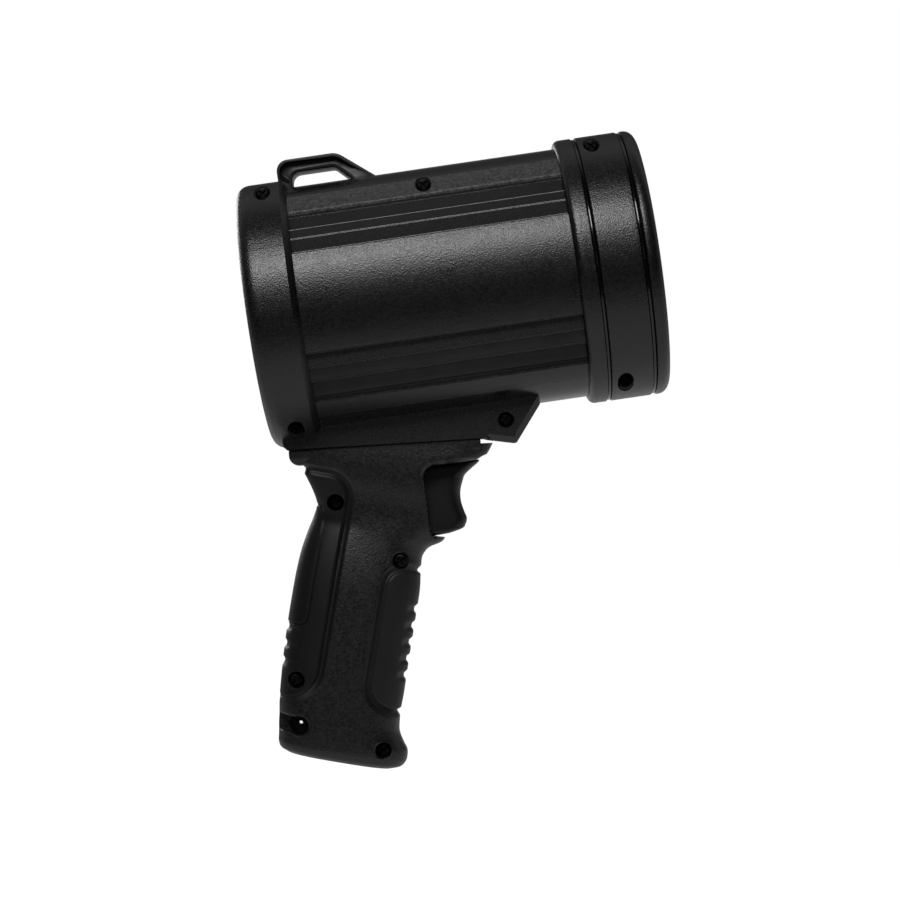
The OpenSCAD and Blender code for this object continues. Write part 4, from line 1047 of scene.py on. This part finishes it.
def carry_loop_surface():
    """A point lies between the matching points of both lines, at the section's distance from one of them."""
    share, fine = (np.linspace(0, 1, times * len(OUTER_LINE)) for times in (1, 4))
    outer, inner = (np.stack([np.interp(fine, share, c) for c in line.T], -1)
                    for line in (OUTER_LINE, INNER_LINE))
    span = lengths(inner - outer)
    across = (inner - outer) / span
    low = np.minimum(outer[:, 1], inner[:, 1])
    deep = GROOVE_D * ease(low, 49.6, 52.0)
    sec = np.concatenate([LOOP_SECTION, LOOP_SECTION[-2:0:-1] * [1, 1, -1, 1]])
    d = sec[:, 0] + sec[:, 1] * span
    xz = outer[:, None, :] + across[:, None, :] * d[..., None]
    y = sec[:, 2] - np.sign(sec[:, 2]) * sec[:, 3] * deep[:, None]
    return np.stack([xz[..., 0], y, xz[..., 1]], -1)


points, cells = wrapped(carry_loop_surface() + HEAD)
build("carry_loop_bar", points, cells, "carry_loop", "loop_plastic", satin_abs, grain=0.2)

# %% [markdown]
# The two seals are rings of soft rubber pressed into the grooves of the front end. A ring is an oval section
# carried round the beam axis, as on a lathe, which gives a cleaner shine than a torus cut into facets.

# %% Turned parts


def turned(profile, columns):
    """Carries a closed [x, radius] profile round the beam axis."""
    a = np.linspace(0, 2 * np.pi, columns, endpoint=False)
    x, r = profile[:, 0, None], profile[:, 1, None]
    points = np.stack([x + 0 * a, r * np.cos(a), r * np.sin(a)], -1)
    return points.reshape(-1, 3) + HEAD, grid_cells(len(profile), columns, True, True)


def ring_profile(x, radius, wide, high):
    """An oval section at a place along the beam."""
    a = np.linspace(0, 2 * np.pi, 24, endpoint=False)
    return np.stack([x + wide * np.cos(a), radius + high * np.sin(a)], -1)


for name, x in (("bead_seal", 114.3), ("lip_seal", 132.2)):
    build(name + "_ring", *turned(ring_profile(x, GROOVE_R + 0.7, 0.84, 0.8), 240), name, "gloss_seal",
          seal_rubber, grain=0.1)

# %% [markdown]
# The reflector is a bowl of metal-coated plastic whose face is a parabola, so that light from its focus
# leaves as a beam. The CAD solid follows the curve in a few cones, which would show as broken lines in a
# mirror, so the bowl is turned again with a fine profile between the same ends.

# %% Reflector bowl
MIRROR_R, MIRROR_T, FOCUS, LAMP_HOLE, NECK, RIM_T, RIM_R = 40.65, 1.6, 7.0, 8.0, 5.0, 1.8, 45.0


def bowl_profile():
    """The face is x = apex + r^2 / (4 focus); the back lies one thickness behind it along the normal."""
    rim = box_mm("reflector")[1, 0] - HEAD[0] - RIM_T
    apex = rim - MIRROR_R ** 2 / (4 * FOCUS)
    r = np.linspace(LAMP_HOLE, MIRROR_R, 60)
    slope = r / (2 * FOCUS)
    size = np.sqrt(1 + slope ** 2)
    face = np.stack([apex + r ** 2 / (4 * FOCUS), r], -1)
    back = face + MIRROR_T * np.stack([-1 / size, slope / size], -1)
    neck = face[0, 0]
    rim_line = [(rim + RIM_T, MIRROR_R), (rim + RIM_T, RIM_R), (rim, RIM_R), (rim, MIRROR_R + MIRROR_T)]
    foot = [(neck, LAMP_HOLE + MIRROR_T), (neck - NECK, LAMP_HOLE + MIRROR_T)]
    return np.concatenate([[(neck - NECK, LAMP_HOLE)], face, rim_line, back[:0:-1], foot])


build("reflector_bowl", *turned(bowl_profile(), 192), "reflector", "reflector_mirror", mirror_coat)

# %% [markdown]
# The stage is a pale floor below the lamp and a white surround. A camera ray sees them white through the
# Light Path node, and so do transmitted rays, and glossy ones where the studio's backdrop would be, behind
# the lamp.

# %% Stage
FLOOR_Z = -0.42
SOFT = {"interpolation_type": "SMOOTHSTEP"}


def shows_background(tree, mirrored):
    """1 for a camera or transmitted ray, and for a glossy ray the share that it shows of the background."""
    path = add(tree, "LightPath").outputs
    seen = maths(tree, "MAXIMUM", path["Is Camera Ray"], path["Is Transmission Ray"])
    return maths(tree, "MAXIMUM", seen, maths(tree, "MULTIPLY", path["Is Glossy Ray"], mirrored))


def paper_floor():
    """White paper: diffuse, so that it keeps the shadow, with a glow for rays that show the background."""
    material, tree, place = new_material("white_studio_paper")
    y = add(tree, "SeparateXYZ", Vector=place).outputs["Y"]
    under = add(tree, "MapRange", SOFT, Value=y, From_Min=-1.0, From_Max=-0.3, To_Max=0.25)
    far = add(tree, "MapRange", Value=y, From_Min=0.3, From_Max=1.2, To_Max=0.4)
    white = maths(tree, "MAXIMUM", under, far)
    glow = add(tree, "Emission", Color=linear("#ffffff"), Strength=0.97)
    paper = add(tree, "BsdfDiffuse", Color=linear("#cfcfcf"))
    both = add(tree, "AddShader", _0=glow, _1=paper)
    mixed = add(tree, "MixShader", _0=shows_background(tree, white), _1=paper, _2=both)
    add(tree, "OutputMaterial", Surface=mixed)
    return material


half_side, floor_front = 3.0, -1.0
floor_mesh = bpy.data.meshes.new("floor")
floor_corners = np.array([(-1, -1), (1, -1), (1, 1), (-1, 1)]) * half_side + [0, half_side + floor_front]
floor_mesh.from_pydata([(x, y, FLOOR_Z) for x, y in floor_corners.tolist()], [], [(0, 1, 2, 3)])
floor = bpy.data.objects.new("floor", floor_mesh)
scene.collection.objects.link(floor)
floor_mesh.materials.append(paper_floor())
print(f"floor at {FLOOR_Z} m, {2 * half_side} m wide")

# %% [markdown]
# Round the floor lies the world. The camera sees it white. The light that it sheds on the lamp is dim, and
# comes mostly from a broad ring behind, as from the pale walls at the back of a studio.

# %% Surround
world = bpy.data.worlds.new("studio")
scene.world = world
world.use_nodes = True
sky = world.node_tree
sky.nodes.clear()
backward = add(sky, "SeparateXYZ", Vector=add(sky, "TexCoord").outputs["Generated"]).outputs["Y"]
behind = add(sky, "MapRange", SOFT, Value=backward, From_Min=0.94, From_Max=0.995)
rise = add(sky, "MapRange", SOFT, Value=backward, From_Min=-0.1, From_Max=0.4, To_Min=0.02, To_Max=0.34)
fall = add(sky, "MapRange", SOFT, Value=backward, From_Min=0.45, From_Max=0.8, To_Min=1.0, To_Max=0.2)
level = maths(sky, "MULTIPLY", rise, fall)
dim = add(sky, "Background", Color=linear("#ffffff"), Strength=level)
white = add(sky, "Background", Color=linear("#ffffff"), Strength=1.0)
mixed = add(sky, "MixShader", _0=shows_background(sky, behind), _1=dim, _2=white)
add(sky, "OutputWorld", Surface=mixed)
print(f"surround with {len(sky.nodes)} nodes")

# %% [markdown]
# One soft box above the camera makes the long highlight on the upper half of the barrel. A pale card behind
# the camera shows in the polished steps, and a weaker soft box behind the lamp lights its far side.

# %% Lights


def soft_box(name, place, target, size, power):
    """An area light at a place, turned so that it faces a target."""
    data = bpy.data.lights.new(name, "AREA")
    data.shape = "RECTANGLE"
    data.size, data.size_y = size
    data.energy = power
    lamp = bpy.data.objects.new(name, data)
    scene.collection.objects.link(lamp)
    back = np.array(place, float) - np.array(target, float)
    back /= np.linalg.norm(back)
    right = np.cross((0, 0, 1), back)
    right /= np.linalg.norm(right)
    m = np.eye(4)
    m[:3, 0], m[:3, 1], m[:3, 2], m[:3, 3] = right, np.cross(back, right), back, place
    lamp.matrix_world = m.T.tolist()
    print(f"{name}: {power} W, {size[0]} x {size[1]} m")


HEAD_MID = (0.055, 0.0, 0.114)
soft_box("key_box", (-0.05, -1.10, 1.07), HEAD_MID, (0.9, 0.45), 16.5)
soft_box("back_box", (-0.7, 1.25, 0.5), HEAD_MID, (0.6, 0.4), 3.6)
soft_box("front_card", (0.055, -1.5, 0.225), HEAD_MID, (0.38, 0.26), 0.155)
